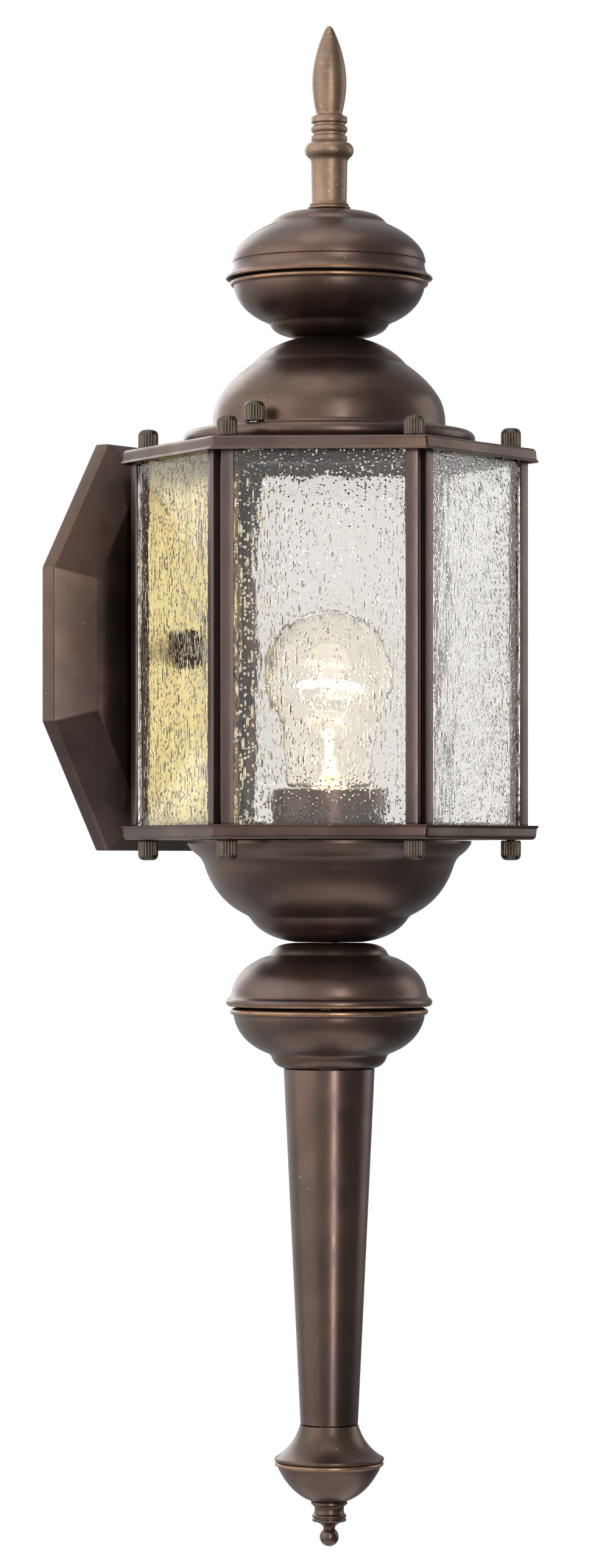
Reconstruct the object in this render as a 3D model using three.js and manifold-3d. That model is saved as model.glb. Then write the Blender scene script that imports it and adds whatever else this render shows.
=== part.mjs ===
// Six-sided outdoor wall lantern: a wall plate with its strap, a glazed cage of
// six corner posts between two caps, a lift-off roof with a bulb-shaped knop and
// a spear finial, a bowl, a second knop and a long tail below, and a lamp inside.
// Millimetres, +Z up. The wall is the plane Y = 0 and the lantern stands out to -Y.
// The origin is the centre of the strap's flat back.
import * as THREE from "three";
import { mergeVertices } from "three/addons/utils/BufferGeometryUtils.js";
import Module from "manifold-3d";

const wasm = await Module();
wasm.setup();

// ---- Driving dimensions -------------------------------------------------------
const GAP = 0.3; // clearance between pieces that touch
const SHEET = 1.5; // wall of every spun or pressed piece
const ROUND_SIDES = 24; // sides of a large turned piece
const SMALL_SIDES = 14; // sides of a small turned piece
const CURVE_STEPS = 3; // straight steps in each curved stretch of an outline

// Wall plate: an upright octagon with a shallow rim and a wide bevel.
const PLATE_WIDTH = 162;
const PLATE_HEIGHT = 190.4;
const PLATE_SIDE_EDGE = 71.2;
const PLATE_TOP_EDGE = 77.2;
const PLATE_RIM = 6.8;
const PLATE_DEPTH = 20.6;
const PLATE_BEVEL = 16;

const STRAP_WIDTH = 20;
const STRAP_THICK = 2;
const STRAP_TAB = 6.8;
const BOX_SCREW_SPACING = 88.9; // slots for a standard junction box
const BOX_SLOT = { width: 5, length: 12 };
const SET_SCREW_RADIUS = 1.5;
const SET_SCREW_LENGTH = 7;

// Cage: corner radii are measured from the lantern's axis.
const AXIS_Y = -105.5;
const POST_RADIUS = 93.4;
const POST_GROOVE = 2.5; // half the groove's mouth, along a face
const POST_STRIP = 5.75; // flat strip on each side of the groove
const POST_GROOVE_DEPTH = 5.5;
const POST_SHEET = 1.2;
const CAP_LIP_RADIUS = 97.5;
const CAP_EDGE_RADIUS = 96.3;
const CAP_HEIGHT = 6.5;
const CAP_ROUND = 2;
const ROOF_MOUTH_RADIUS = 54;
const GLASS_THICK = 3;
const GLASS_INSET = 6; // glass edge to corner, along a face
const ROD_CIRCLE = 84.2;
const ROD_RADIUS = 2.1;
const HOLE_RADIUS = 2.6;
const ROOF_STUD_CIRCLE = 62;

const NUT = { radius: 4.75, flute: 0.45, flutes: 18, height: 9.2, dome: 1.9, bore: 7.6 };

const TIE_ROD_RADIUS = 4.8;
const TIE_HOLE_RADIUS = 5.3;
const NIPPLE = { radius: 5.1, bore: 3.5, back: -9, front: -38 };

// Heights above the lowest point of the lantern.
const LEVEL = {
  tailCup: 21.2,
  tailTube: 56.8,
  lowerKnop: 222,
  lowerKnopSeam: 250.3,
  bowl: 280.3,
  lowerCap: 327.7,
  upperCap: 502.3,
  roof: 508.8,
  upperKnop: 560.3,
  upperKnopSeam: 587.5,
  finial: 620,
};
const PLATE_LEVEL = 418; // height of the plate's centre above the lowest point

// Lamp: a standard 60 mm globe bulb on an E26 base.
const BULB_RADIUS = 30;
const BULB_CENTRE = 404.5;
const BULB_BASE_TOP = 351;
const BULB_BASE_RADIUS = 13.1;
const BULB_WALL = 0.8;
const SOCKET = { radius: 18.5, bore: 14.2, bottom: 303, floor: 322, top: 349.5 };
const SOCKET_CUP = { radius: 26.2, top: 351 };

// ---- Materials ----------------------------------------------------------------
const metal = (color, roughness) =>
  new THREE.MeshStandardMaterial({ color, roughness, metalness: 0.85 });
const BRONZE = metal(0x51423c, 0.42);
const CAST_BRONZE = metal(0x6b5045, 0.6);
const NUT_BRONZE = metal(0x46403b, 0.5);
const BRASS = metal(0xb0893f, 0.3);
const STEEL = metal(0x9a9a97, 0.4);
const PORCELAIN = new THREE.MeshStandardMaterial({ color: 0xe9e4d8, roughness: 0.35 });
const GLASS = new THREE.MeshStandardMaterial({
  color: 0xf2ead6, roughness: 0.08, transparent: true, opacity: 0.35,
});
const BULB_GLASS = new THREE.MeshStandardMaterial({
  color: 0xfff1d0, roughness: 0.2, transparent: true, opacity: 0.6,
});

// ---- Helpers --------------------------------------------------------------------
const root = new THREE.Group();
const lantern = new THREE.Group();
lantern.position.set(0, AXIS_Y, -PLATE_LEVEL);
root.add(lantern);

function add(parent, name, geometry, material, level = 0) {
  const mesh = new THREE.Mesh(geometry, material);
  mesh.name = name;
  mesh.position.z = level;
  parent.add(mesh);
  return mesh;
}

// Turns a closed (radius, height) outline about +Z. Six sides give a hexagonal
// piece whose corners lie at the cage's corners.
function turned(outline, sides) {
  const area = THREE.ShapeUtils.area(outline);
  const ring = area < 0 ? outline.slice().reverse() : outline.slice();
  const onAxis = ring[0].x === 0 && ring[ring.length - 1].x === 0;
  if (!onAxis) ring.push(ring[0].clone());
  return new THREE.LatheGeometry(ring, sides, Math.PI / 6).rotateX(Math.PI / 2);
}

// Closes an open outline into a wall of even thickness, on its left-hand side.
// Both ends are cut level or upright, whichever is nearer to square.
function walled(outline, thickness) {
  const inner = outline.map((point, i) => {
    const before = outline[Math.max(i - 1, 0)];
    const after = outline[Math.min(i + 1, outline.length - 1)];
    const first = point.clone().sub(before).normalize();
    const second = after.clone().sub(point).normalize();
    const along = first.add(second).normalize();
    const { x, y } = point;
    if (before !== point && after !== point) {
      return new THREE.Vector2(x - along.y * thickness, y + along.x * thickness);
    }
    const steep = Math.abs(along.y) > Math.abs(along.x);
    return steep
      ? new THREE.Vector2(x - thickness / along.y, y)
      : new THREE.Vector2(x, y + thickness / along.x);
  });
  return outline.concat(inner.reverse());
}

function cylinder(radius, low, high, sides) {
  const body = new THREE.CylinderGeometry(radius, radius, high - low, sides);
  return body.rotateX(Math.PI / 2).translate(0, 0, (low + high) / 2);
}

function toSolid(geometry) {
  const bare = geometry.clone();
  bare.deleteAttribute("normal");
  bare.deleteAttribute("uv");
  const merged = mergeVertices(bare, 1e-4);
  return new wasm.Manifold(new wasm.Mesh({
    numProp: 3,
    vertProperties: new Float32Array(merged.attributes.position.array),
    triVerts: new Uint32Array(merged.index.array),
  }));
}

function toGeometry(solid) {
  const mesh = solid.getMesh();
  const geometry = new THREE.BufferGeometry();
  geometry.setAttribute("position", new THREE.BufferAttribute(mesh.vertProperties, 3));
  geometry.setIndex(new THREE.BufferAttribute(mesh.triVerts, 1));
  return geometry;
}

function cut(geometry, tools) {
  const body = tools.reduce((solid, tool) => solid.subtract(toSolid(tool)), toSolid(geometry));
  return toGeometry(body);
}

// The six corners of the cage, as azimuths from the front (-Y), turning to +X.
const CORNERS = [
  { name: "front_right", azimuth: 30 },
  { name: "right", azimuth: 90 },
  { name: "rear_right", azimuth: 150 },
  { name: "rear_left", azimuth: 210 },
  { name: "left", azimuth: 270 },
  { name: "front_left", azimuth: 330 },
];
const PANES = [
  { name: "front", azimuth: 0 },
  { name: "front_right", azimuth: 60 },
  { name: "rear_right", azimuth: 120 },
  { name: "rear_left", azimuth: 240 },
  { name: "front_left", azimuth: 300 },
];

function atCorner(mesh, azimuth, radius) {
  const angle = THREE.MathUtils.degToRad(azimuth);
  mesh.position.x = radius * Math.sin(angle);
  mesh.position.y = -radius * Math.cos(angle);
  mesh.rotation.z = angle;
}

// ---- Wall plate, strap and fixings ------------------------------------------------
// An octagon in the plane Y = y, drawn in from the plate's outline by inset.
function octagon(inset, y) {
  const halfWidth = PLATE_WIDTH / 2;
  const halfHeight = PLATE_HEIGHT / 2;
  const lean = Math.atan2(halfWidth - PLATE_TOP_EDGE / 2, halfHeight - PLATE_SIDE_EDGE / 2);
  const side = PLATE_SIDE_EDGE / 2 - inset * Math.tan(lean / 2);
  const top = PLATE_TOP_EDGE / 2 - inset * Math.tan(Math.PI / 4 - lean / 2);
  const x = halfWidth - inset;
  const z = halfHeight - inset;
  const corners = [
    [x, -side], [x, side], [top, z], [-top, z],
    [-x, side], [-x, -side], [-top, -z], [top, -z],
  ];
  return corners.map(([cornerX, cornerZ]) => new THREE.Vector3(cornerX, y, cornerZ));
}

// Joins a row of like rings by bands of triangles and closes both end rings.
function lofted(rings) {
  const count = rings[0].length;
  const index = [];
  for (let r = 0; r < rings.length - 1; r += 1) {
    for (let i = 0; i < count; i += 1) {
      const a = r * count + i;
      const b = r * count + ((i + 1) % count);
      index.push(a, b, a + count, b, b + count, a + count);
    }
  }
  const last = (rings.length - 1) * count;
  for (let i = 1; i < count - 1; i += 1) {
    index.push(0, i + 1, i);
    index.push(last, last + i, last + i + 1);
  }
  const geometry = new THREE.BufferGeometry().setFromPoints(rings.flat());
  geometry.setIndex(index);
  return geometry;
}

const SET_SCREW_Y = -4;

// Clearance holes through the plate's rim and the strap's tabs, top and bottom.
function setScrewHoles() {
  return [-1, 1].map((sign) => cylinder(SET_SCREW_RADIUS + GAP, -10, 10, 12)
    .translate(0, SET_SCREW_Y, (sign * PLATE_HEIGHT) / 2));
}

function wallPlate() {
  const body = lofted([
    octagon(PLATE_BEVEL, -PLATE_DEPTH + SHEET),
    octagon(SHEET, -PLATE_RIM + SHEET / 2),
    octagon(SHEET, 0),
    octagon(0, 0),
    octagon(0, -PLATE_RIM),
    octagon(PLATE_BEVEL, -PLATE_DEPTH),
  ]);
  const wireHole = cylinder(NIPPLE.radius + GAP, -5, 5, SMALL_SIDES)
    .rotateX(Math.PI / 2)
    .translate(0, -PLATE_DEPTH, 0);
  return cut(body, [wireHole, ...setScrewHoles()]);
}

function mountingStrap() {
  const end = PLATE_HEIGHT / 2 - SHEET - 4 * GAP;
  const side = new THREE.Shape();
  side.moveTo(0, -end);
  side.lineTo(STRAP_TAB, -end);
  side.lineTo(STRAP_TAB, -end + STRAP_THICK);
  side.lineTo(STRAP_THICK, -end + STRAP_THICK);
  side.lineTo(STRAP_THICK, end - STRAP_THICK);
  side.lineTo(STRAP_TAB, end - STRAP_THICK);
  side.lineTo(STRAP_TAB, end);
  side.lineTo(0, end);
  const bar = new THREE.ExtrudeGeometry(side, { depth: STRAP_WIDTH, bevelEnabled: false })
    .rotateX(Math.PI / 2)
    .rotateZ(-Math.PI / 2)
    .translate(STRAP_WIDTH / 2, 0, 0);
  const reach = BOX_SLOT.length / 2 - BOX_SLOT.width / 2;
  const slot = new THREE.Shape();
  slot.absarc(reach, 0, BOX_SLOT.width / 2, -Math.PI / 2, Math.PI / 2);
  slot.absarc(-reach, 0, BOX_SLOT.width / 2, Math.PI / 2, 1.5 * Math.PI);
  const slots = [-1, 1].map((sign) =>
    new THREE.ExtrudeGeometry(slot, { depth: 10, bevelEnabled: false, curveSegments: 4 })
      .rotateX(Math.PI / 2)
      .translate(0, 5, (sign * BOX_SCREW_SPACING) / 2));
  return cut(bar, [...slots, ...setScrewHoles()]);
}

function setScrew() {
  return cylinder(SET_SCREW_RADIUS, -SET_SCREW_LENGTH, 0, 12);
}

// A hexagonal nut with a round hole, lying along +Z from 0 to its height.
function hexNut(acrossFlats, height, hole) {
  const corner = acrossFlats / Math.sqrt(3);
  return cut(cylinder(corner, 0, height, 6), [cylinder(hole, -1, height + 1, 16)]);
}

function ring(outer, hole, height) {
  const outline = [[hole, 0], [outer, 0], [outer, height], [hole, height]];
  return turned(outline.map(([r, z]) => new THREE.Vector2(r, z)), SMALL_SIDES);
}

function addFixings() {
  add(root, "wall_plate", wallPlate(), BRONZE);
  add(root, "mounting_strap", mountingStrap(), STEEL);
  for (const [name, sign] of [["top", 1], ["bottom", -1]]) {
    const screw = add(root, `set_screw_${name}`, setScrew(), STEEL, (sign * PLATE_HEIGHT) / 2);
    screw.position.y = SET_SCREW_Y;
    screw.rotation.x = sign > 0 ? 0 : Math.PI;
  }
  const panelFront = AXIS_Y + (POST_RADIUS * Math.sqrt(3)) / 2;
  const alongY = (name, geometry, material, y) => {
    const mesh = add(root, name, geometry, material);
    mesh.rotation.x = Math.PI / 2;
    mesh.position.y = y;
  };
  const hole = NIPPLE.radius + GAP;
  alongY("wire_nipple", ring(NIPPLE.radius, NIPPLE.bore, NIPPLE.back - NIPPLE.front),
    STEEL, NIPPLE.back);
  alongY("nipple_nut", hexNut(16, 5, hole), NUT_BRONZE, panelFront - POST_SHEET - GAP);
}

// ---- Cage -------------------------------------------------------------------------
const INNER_LOW = LEVEL.lowerCap + SHEET + GAP;
const INNER_HIGH = LEVEL.upperCap + CAP_HEIGHT - SHEET - GAP;

// A hexagonal pan: a flat sheet with a short, slightly flared band around it.
function capPan(mouthRadius) {
  const wall = (SHEET * 2) / Math.sqrt(3);
  const outline = new THREE.Path();
  outline.moveTo(CAP_LIP_RADIUS, 0);
  outline.lineTo(CAP_EDGE_RADIUS, CAP_HEIGHT - CAP_ROUND);
  outline.lineTo(CAP_EDGE_RADIUS - CAP_ROUND * 0.3, CAP_HEIGHT - CAP_ROUND * 0.3);
  outline.lineTo(CAP_EDGE_RADIUS - CAP_ROUND, CAP_HEIGHT);
  outline.lineTo(10, CAP_HEIGHT);
  outline.lineTo(10, CAP_HEIGHT - SHEET);
  outline.lineTo(CAP_EDGE_RADIUS - wall, CAP_HEIGHT - SHEET);
  outline.lineTo(CAP_LIP_RADIUS - wall, 0);
  const holes = CORNERS.map(({ azimuth }) => rodHole(azimuth, ROD_CIRCLE));
  const mouth = cylinder(mouthRadius, 0, 2 * CAP_HEIGHT, ROUND_SIDES);
  return { pan: turned(outline.getPoints(1), 6), holes: [mouth, ...holes] };
}

function rodHole(azimuth, radius) {
  const angle = THREE.MathUtils.degToRad(azimuth);
  return cylinder(HOLE_RADIUS, 0, 2 * CAP_HEIGHT, 12)
    .translate(radius * Math.sin(angle), -radius * Math.cos(angle), 0);
}

function upperCap() {
  const { pan, holes } = capPan(ROOF_MOUTH_RADIUS);
  const studHoles = [90, 270].map((azimuth) => rodHole(azimuth, ROOF_STUD_CIRCLE));
  return cut(pan, [...holes, ...studHoles]);
}

function lowerCap() {
  const { pan, holes } = capPan(SOCKET.radius + 1);
  return cut(pan, holes);
}

// Section of a corner post: two flat strips in the face planes with a groove
// folded in between them. X runs across the corner and Y points outward.
function cornerPost(height) {
  const across = Math.sin(Math.PI / 3);
  const along = (distance, depth) => [
    distance * across - depth * 0.5,
    -distance * 0.5 - depth * across,
  ];
  const half = [
    along(POST_GROOVE + POST_STRIP, 0),
    along(POST_GROOVE, 0),
    [POST_GROOVE / 2, -POST_GROOVE_DEPTH],
  ];
  const innerHalf = [
    [POST_GROOVE / 2 + POST_SHEET, -POST_GROOVE_DEPTH - POST_SHEET],
    along(POST_GROOVE + POST_SHEET * 1.2, POST_SHEET),
    along(POST_GROOVE + POST_STRIP, POST_SHEET),
  ];
  const mirrored = (list) => list.slice().reverse().map(([x, y]) => [-x, y]);
  const outline = [...half, ...mirrored(half), ...mirrored(innerHalf), ...innerHalf];
  const shape = new THREE.Shape(outline.map(([x, y]) => new THREE.Vector2(x, y)));
  return new THREE.ExtrudeGeometry(shape, { depth: height, bevelEnabled: false })
    .rotateZ(Math.PI);
}

function addCage() {
  add(lantern, "upper_cap", upperCap(), BRONZE, LEVEL.upperCap);
  const lower = add(lantern, "lower_cap", lowerCap(), BRONZE, LEVEL.lowerCap + CAP_HEIGHT);
  lower.rotation.x = Math.PI;

  const height = INNER_HIGH - INNER_LOW;
  const rodReach = NUT.bore - GAP - 0.5;
  const rodLow = LEVEL.lowerCap - rodReach;
  const rodHigh = LEVEL.upperCap + CAP_HEIGHT + rodReach;
  for (const { name, azimuth } of CORNERS) {
    const post = add(lantern, `post_${name}`, cornerPost(height), BRONZE, INNER_LOW);
    atCorner(post, azimuth, POST_RADIUS);
    const rod = add(lantern, `rod_${name}`, cylinder(ROD_RADIUS, rodLow, rodHigh, 12), STEEL);
    atCorner(rod, azimuth, ROD_CIRCLE);
    const topNut = add(lantern, `top_nut_${name}`, NUT_GEOMETRY, NUT_BRONZE,
      LEVEL.upperCap + CAP_HEIGHT + GAP);
    atCorner(topNut, azimuth, ROD_CIRCLE);
    const bottomNut = add(lantern, `bottom_nut_${name}`, NUT_GEOMETRY, NUT_BRONZE,
      LEVEL.lowerCap - GAP);
    atCorner(bottomNut, azimuth, ROD_CIRCLE);
    bottomNut.rotation.x = Math.PI;
  }

  const apothem = (POST_RADIUS * Math.sqrt(3)) / 2;
  const glassWidth = POST_RADIUS - 2 * GLASS_INSET;
  const glassHeight = height - 2 * GAP;
  const middle = (INNER_LOW + INNER_HIGH) / 2;
  for (const { name, azimuth } of PANES) {
    const pane = new THREE.BoxGeometry(glassWidth, GLASS_THICK, glassHeight);
    const mesh = add(lantern, `glass_${name}`, pane, GLASS, middle);
    atCorner(mesh, azimuth, apothem - POST_SHEET - GAP - GLASS_THICK / 2);
  }
  add(lantern, "back_panel", backPanel(glassHeight), BRASS, middle)
    .position.y = apothem - POST_SHEET / 2;
}

// The solid rear face: it fills the space between the rear posts' strips.
function backPanel(height) {
  const width = POST_RADIUS - 2 * (POST_GROOVE + POST_STRIP + GAP);
  const sheet = new THREE.BoxGeometry(width, POST_SHEET, height);
  const middle = (INNER_LOW + INNER_HIGH) / 2;
  const hole = cylinder(NIPPLE.radius + GAP, -5, 5, SMALL_SIDES)
    .rotateX(Math.PI / 2)
    .translate(0, 0, PLATE_LEVEL - middle);
  return cut(sheet, [hole]);
}

// ---- Knurled thumb nut ------------------------------------------------------------
// A straight-fluted barrel with a domed end and a blind hole from below.
function thumbNut() {
  const count = NUT.flutes * 2;
  const fluted = (z, grow) => Array.from({ length: count }, (_, i) => {
    const angle = (i / count) * 2 * Math.PI;
    const flute = i % 2 === 0 ? 0 : NUT.flute;
    const radius = NUT.radius - flute + grow;
    return new THREE.Vector3(radius * Math.cos(angle), radius * Math.sin(angle), z);
  });
  const dome = fluted(NUT.height, 0)
    .map((point) => point.setZ(0).setLength(NUT.radius * 0.55).setZ(NUT.height));
  const body = lofted([fluted(0, 0), fluted(NUT.height - NUT.dome, 0), dome]);
  return cut(body, [cylinder(HOLE_RADIUS, -1, NUT.bore, 12)]);
}
const NUT_GEOMETRY = thumbNut();

// ---- Roof: dome, knop, finial and their rod -----------------------------------------
function roofDome() {
  const outline = new THREE.Path();
  outline.moveTo(63.5, 0);
  outline.absarc(63.8, 4, 4, -Math.PI / 2, Math.PI / 2);
  outline.lineTo(56.5, 8);
  outline.lineTo(53.8, 10.4);
  outline.quadraticCurveTo(53.5, 27, 35.2, 39.5);
  outline.quadraticCurveTo(29, 46, 16, 51.2);
  outline.lineTo(TIE_HOLE_RADIUS, 51.2);
  const shell = turned(walled(outline.getPoints(CURVE_STEPS), SHEET), ROUND_SIDES);
  const holes = [90, 270].map((azimuth) => rodHole(azimuth, ROOF_STUD_CIRCLE)
    .translate(0, 0, -1));
  return cut(shell, holes);
}

// A spun half of a knop: flat seat, crease, full shoulder and a flared rim.
function upperKnopTop() {
  const outline = new THREE.Path();
  outline.moveTo(48, 0);
  outline.lineTo(47.6, 2.5);
  outline.lineTo(45, 8);
  outline.quadraticCurveTo(43.5, 18, 26.3, 26.5);
  outline.lineTo(22, 29.6);
  outline.lineTo(10, 32.2);
  outline.lineTo(TIE_HOLE_RADIUS, 32.2);
  return turned(walled(outline.getPoints(CURVE_STEPS), SHEET), ROUND_SIDES);
}

function upperKnopBottom() {
  const outline = new THREE.Path();
  outline.moveTo(TIE_HOLE_RADIUS, 0);
  outline.lineTo(16, 0);
  outline.lineTo(25.4, 3.7);
  outline.lineTo(28.2, 6.4);
  outline.quadraticCurveTo(41.5, 11.5, 44, 23);
  outline.lineTo(46, 25.4);
  outline.lineTo(46, 26.9);
  return turned(walled(outline.getPoints(CURVE_STEPS), SHEET), ROUND_SIDES);
}

const FINIAL_BORE = 19;

function finial() {
  const outline = new THREE.Path();
  outline.moveTo(0, FINIAL_BORE);
  outline.lineTo(TIE_HOLE_RADIUS, FINIAL_BORE);
  outline.lineTo(TIE_HOLE_RADIUS, 0);
  outline.lineTo(10, 0);
  outline.lineTo(8.2, 3);
  outline.lineTo(8.5, 22.6);
  outline.absarc(7.1, 27, 4.3, -Math.PI / 2.4, Math.PI / 2.4);
  outline.lineTo(8.1, 32.2);
  outline.lineTo(8.1, 34.2);
  outline.lineTo(7.2, 34.8);
  outline.lineTo(7.2, 39.6);
  outline.lineTo(8.1, 40.2);
  outline.lineTo(8.1, 43.4);
  outline.lineTo(6, 44.5);
  outline.quadraticCurveTo(8.4, 52, 8, 60);
  outline.quadraticCurveTo(7.4, 72, 1.9, 84.2);
  outline.lineTo(0, 85.4);
  return turned(outline.getPoints(CURVE_STEPS), SMALL_SIDES);
}

function addRoof() {
  add(lantern, "roof_dome", roofDome(), BRONZE, LEVEL.roof + GAP);
  add(lantern, "upper_knop_bottom", upperKnopBottom(), BRONZE, LEVEL.upperKnop + GAP);
  add(lantern, "upper_knop_top", upperKnopTop(), BRONZE, LEVEL.upperKnopSeam);
  add(lantern, "finial", finial(), CAST_BRONZE, LEVEL.finial);
  const nutHeight = 5;
  const nutTop = LEVEL.upperKnop - SHEET - GAP;
  add(lantern, "roof_rod_nut", hexNut(16, nutHeight, TIE_HOLE_RADIUS), STEEL,
    nutTop - nutHeight);
  const rodHigh = LEVEL.finial + FINIAL_BORE - 1;
  add(lantern, "roof_rod", cylinder(TIE_ROD_RADIUS, nutTop - nutHeight - 3, rodHigh, 16), STEEL);

  const studHead = INNER_HIGH;
  const flangeTop = LEVEL.roof + GAP + 8;
  const studOutline = [
    [0, studHead - 2], [4, studHead - 2], [4, studHead],
    [ROD_RADIUS, studHead], [ROD_RADIUS, flangeTop + 7], [0, flangeTop + 7],
  ];
  for (const [name, azimuth] of [["right", 90], ["left", 270]]) {
    const outline = studOutline.map(([r, z]) => new THREE.Vector2(r, z));
    atCorner(add(lantern, `roof_stud_${name}`, turned(outline, 12), STEEL), azimuth,
      ROOF_STUD_CIRCLE);
    atCorner(add(lantern, `roof_nut_${name}`, NUT_GEOMETRY, NUT_BRONZE, flangeTop + GAP),
      azimuth, ROOF_STUD_CIRCLE);
  }
}

// ---- Bowl, lower knop and tail --------------------------------------------------------
function bowl() {
  const outline = new THREE.Path();
  outline.moveTo(TIE_HOLE_RADIUS, 0);
  outline.lineTo(16.4, 0);
  outline.lineTo(27, 2.7);
  outline.quadraticCurveTo(34, 6, 37.6, 12.1);
  outline.quadraticCurveTo(52, 20, 57, 34);
  outline.lineTo(60, 39.5);
  outline.lineTo(65, 44.2);
  outline.lineTo(66, 47.1);
  return turned(walled(outline.getPoints(CURVE_STEPS), SHEET), ROUND_SIDES);
}

function lowerKnopTop() {
  const outline = new THREE.Path();
  outline.moveTo(48, 0);
  outline.lineTo(48, 3);
  outline.lineTo(45.6, 7);
  outline.quadraticCurveTo(43.5, 17, 27.7, 24);
  outline.lineTo(24.4, 27.1);
  outline.lineTo(17, 29.7);
  outline.lineTo(TIE_HOLE_RADIUS, 29.7);
  return turned(walled(outline.getPoints(CURVE_STEPS), SHEET), ROUND_SIDES);
}

function lowerKnopBottom() {
  const outline = new THREE.Path();
  outline.moveTo(TIE_HOLE_RADIUS, 0);
  outline.lineTo(21.5, 0);
  outline.lineTo(27.7, 6.2);
  outline.quadraticCurveTo(41, 11.5, 44, 22.5);
  outline.lineTo(46, 25.5);
  outline.lineTo(46, 28);
  return turned(walled(outline.getPoints(CURVE_STEPS), SHEET), ROUND_SIDES);
}

function tailTube() {
  const high = LEVEL.lowerKnop - LEVEL.tailTube - GAP;
  const outline = [[13.4, 0], [21.2, high], [21.2 - SHEET, high], [13.4 - SHEET, 0]];
  return turned(outline.map(([r, z]) => new THREE.Vector2(r, z)), ROUND_SIDES);
}

function tailCup() {
  const outline = new THREE.Path();
  outline.moveTo(TIE_HOLE_RADIUS, 0);
  outline.lineTo(8.5, 0);
  outline.quadraticCurveTo(17.5, 4, 24, 16);
  outline.lineTo(25.5, 18.2);
  outline.lineTo(25.5, 20.3);
  outline.quadraticCurveTo(16, 28, 13.4, 35.3);
  return turned(walled(outline.getPoints(CURVE_STEPS), SHEET), ROUND_SIDES);
}

const SPIGOT_TOP = 30;

function dropFinial() {
  const high = LEVEL.tailCup - GAP;
  const outline = new THREE.Path();
  outline.absarc(0, 4.5, 4.5, -Math.PI / 2, 0.3 * Math.PI);
  outline.lineTo(2.8, 9);
  outline.lineTo(6.8, 12);
  outline.lineTo(8, 12.8);
  outline.lineTo(8, 14.8);
  outline.lineTo(7, 15.6);
  outline.lineTo(7.2, 18);
  outline.lineTo(8.5, 19.4);
  outline.lineTo(8.5, high);
  outline.lineTo(TIE_ROD_RADIUS, high);
  outline.lineTo(TIE_ROD_RADIUS, SPIGOT_TOP);
  outline.lineTo(0, SPIGOT_TOP);
  const ring = outline.getPoints(CURVE_STEPS);
  ring[0].x = 0;
  return turned(ring, SMALL_SIDES);
}

function addTail() {
  add(lantern, "bowl", bowl(), BRONZE, LEVEL.bowl);
  add(lantern, "lower_knop_top", lowerKnopTop(), BRONZE, LEVEL.lowerKnopSeam);
  add(lantern, "lower_knop_bottom", lowerKnopBottom(), BRONZE, LEVEL.lowerKnop);
  add(lantern, "tail_tube", tailTube(), BRONZE, LEVEL.tailTube);
  add(lantern, "tail_cup", tailCup(), BRONZE, LEVEL.tailCup);
  add(lantern, "drop_finial", dropFinial(), BRONZE);
  const rodTop = SOCKET.bottom - GAP;
  add(lantern, "tail_rod", cylinder(TIE_ROD_RADIUS, SPIGOT_TOP + GAP, rodTop, 16), STEEL);
}

// ---- Lamp ---------------------------------------------------------------------------
function socketBody() {
  const outline = [
    [0, SOCKET.bottom], [SOCKET.radius, SOCKET.bottom], [SOCKET.radius, SOCKET.top],
    [SOCKET.bore, SOCKET.top], [SOCKET.bore, SOCKET.floor], [0, SOCKET.floor],
  ];
  return turned(outline.map(([r, z]) => new THREE.Vector2(r, z)), SMALL_SIDES);
}

function socketCup() {
  const outline = new THREE.Path();
  outline.moveTo(SOCKET.radius + GAP, INNER_LOW);
  outline.lineTo(SOCKET_CUP.radius - 2, INNER_LOW);
  outline.lineTo(SOCKET_CUP.radius, INNER_LOW + 2);
  outline.lineTo(SOCKET_CUP.radius, SOCKET_CUP.top);
  return turned(walled(outline.getPoints(1), SHEET), ROUND_SIDES);
}

function bulbGlass() {
  const low = BULB_BASE_TOP + GAP;
  const start = -Math.PI / 7.2;
  const outline = new THREE.Path();
  outline.moveTo(13.4, low);
  outline.lineTo(19.4, low + 2.5);
  outline.quadraticCurveTo(21.4, low + 27, BULB_RADIUS * Math.cos(start),
    BULB_CENTRE + BULB_RADIUS * Math.sin(start));
  outline.absarc(0, BULB_CENTRE, BULB_RADIUS, start, Math.PI / 2);
  const outer = outline.getPoints(CURVE_STEPS);
  const inner = walled(outer, BULB_WALL).slice(outer.length);
  outer[outer.length - 1].x = 0;
  inner[0].set(0, BULB_CENTRE + BULB_RADIUS - BULB_WALL);
  return turned([...outer, ...inner], ROUND_SIDES);
}

function bulbBase() {
  const low = SOCKET.floor + 1;
  const outline = [
    [0, low], [4.5, low + 0.6], [5.5, low + 3], [BULB_BASE_RADIUS - 1, low + 6],
    [BULB_BASE_RADIUS, low + 8], [BULB_BASE_RADIUS, BULB_BASE_TOP], [0, BULB_BASE_TOP],
  ];
  return turned(outline.map(([r, z]) => new THREE.Vector2(r, z)), SMALL_SIDES);
}

function bulbStem() {
  const low = BULB_BASE_TOP + GAP;
  const outline = [[0, low], [9, low], [4.5, low + 7], [2.6, low + 20], [4, low + 27],
    [0, low + 28]];
  return turned(outline.map(([r, z]) => new THREE.Vector2(r, z)), 12);
}

function addLamp() {
  add(lantern, "socket", socketBody(), PORCELAIN);
  add(lantern, "socket_cup", socketCup(), BRONZE);
  add(lantern, "bulb_glass", bulbGlass(), BULB_GLASS);
  add(lantern, "bulb_base", bulbBase(), BRASS);
  add(lantern, "bulb_stem", bulbStem(), GLASS);
}

addFixings();
addCage();
addRoof();
addTail();
addLamp();

export default root;
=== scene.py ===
"""Finish model of a hexagonal outdoor wall lantern, laid out as a Blender add-on.

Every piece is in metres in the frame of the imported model: the wall is the plane
Y = 0, the lantern stands out to -Y and +Z is up. Outlines are drawn in millimetres
above the lowest point of their own piece.
"""

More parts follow.
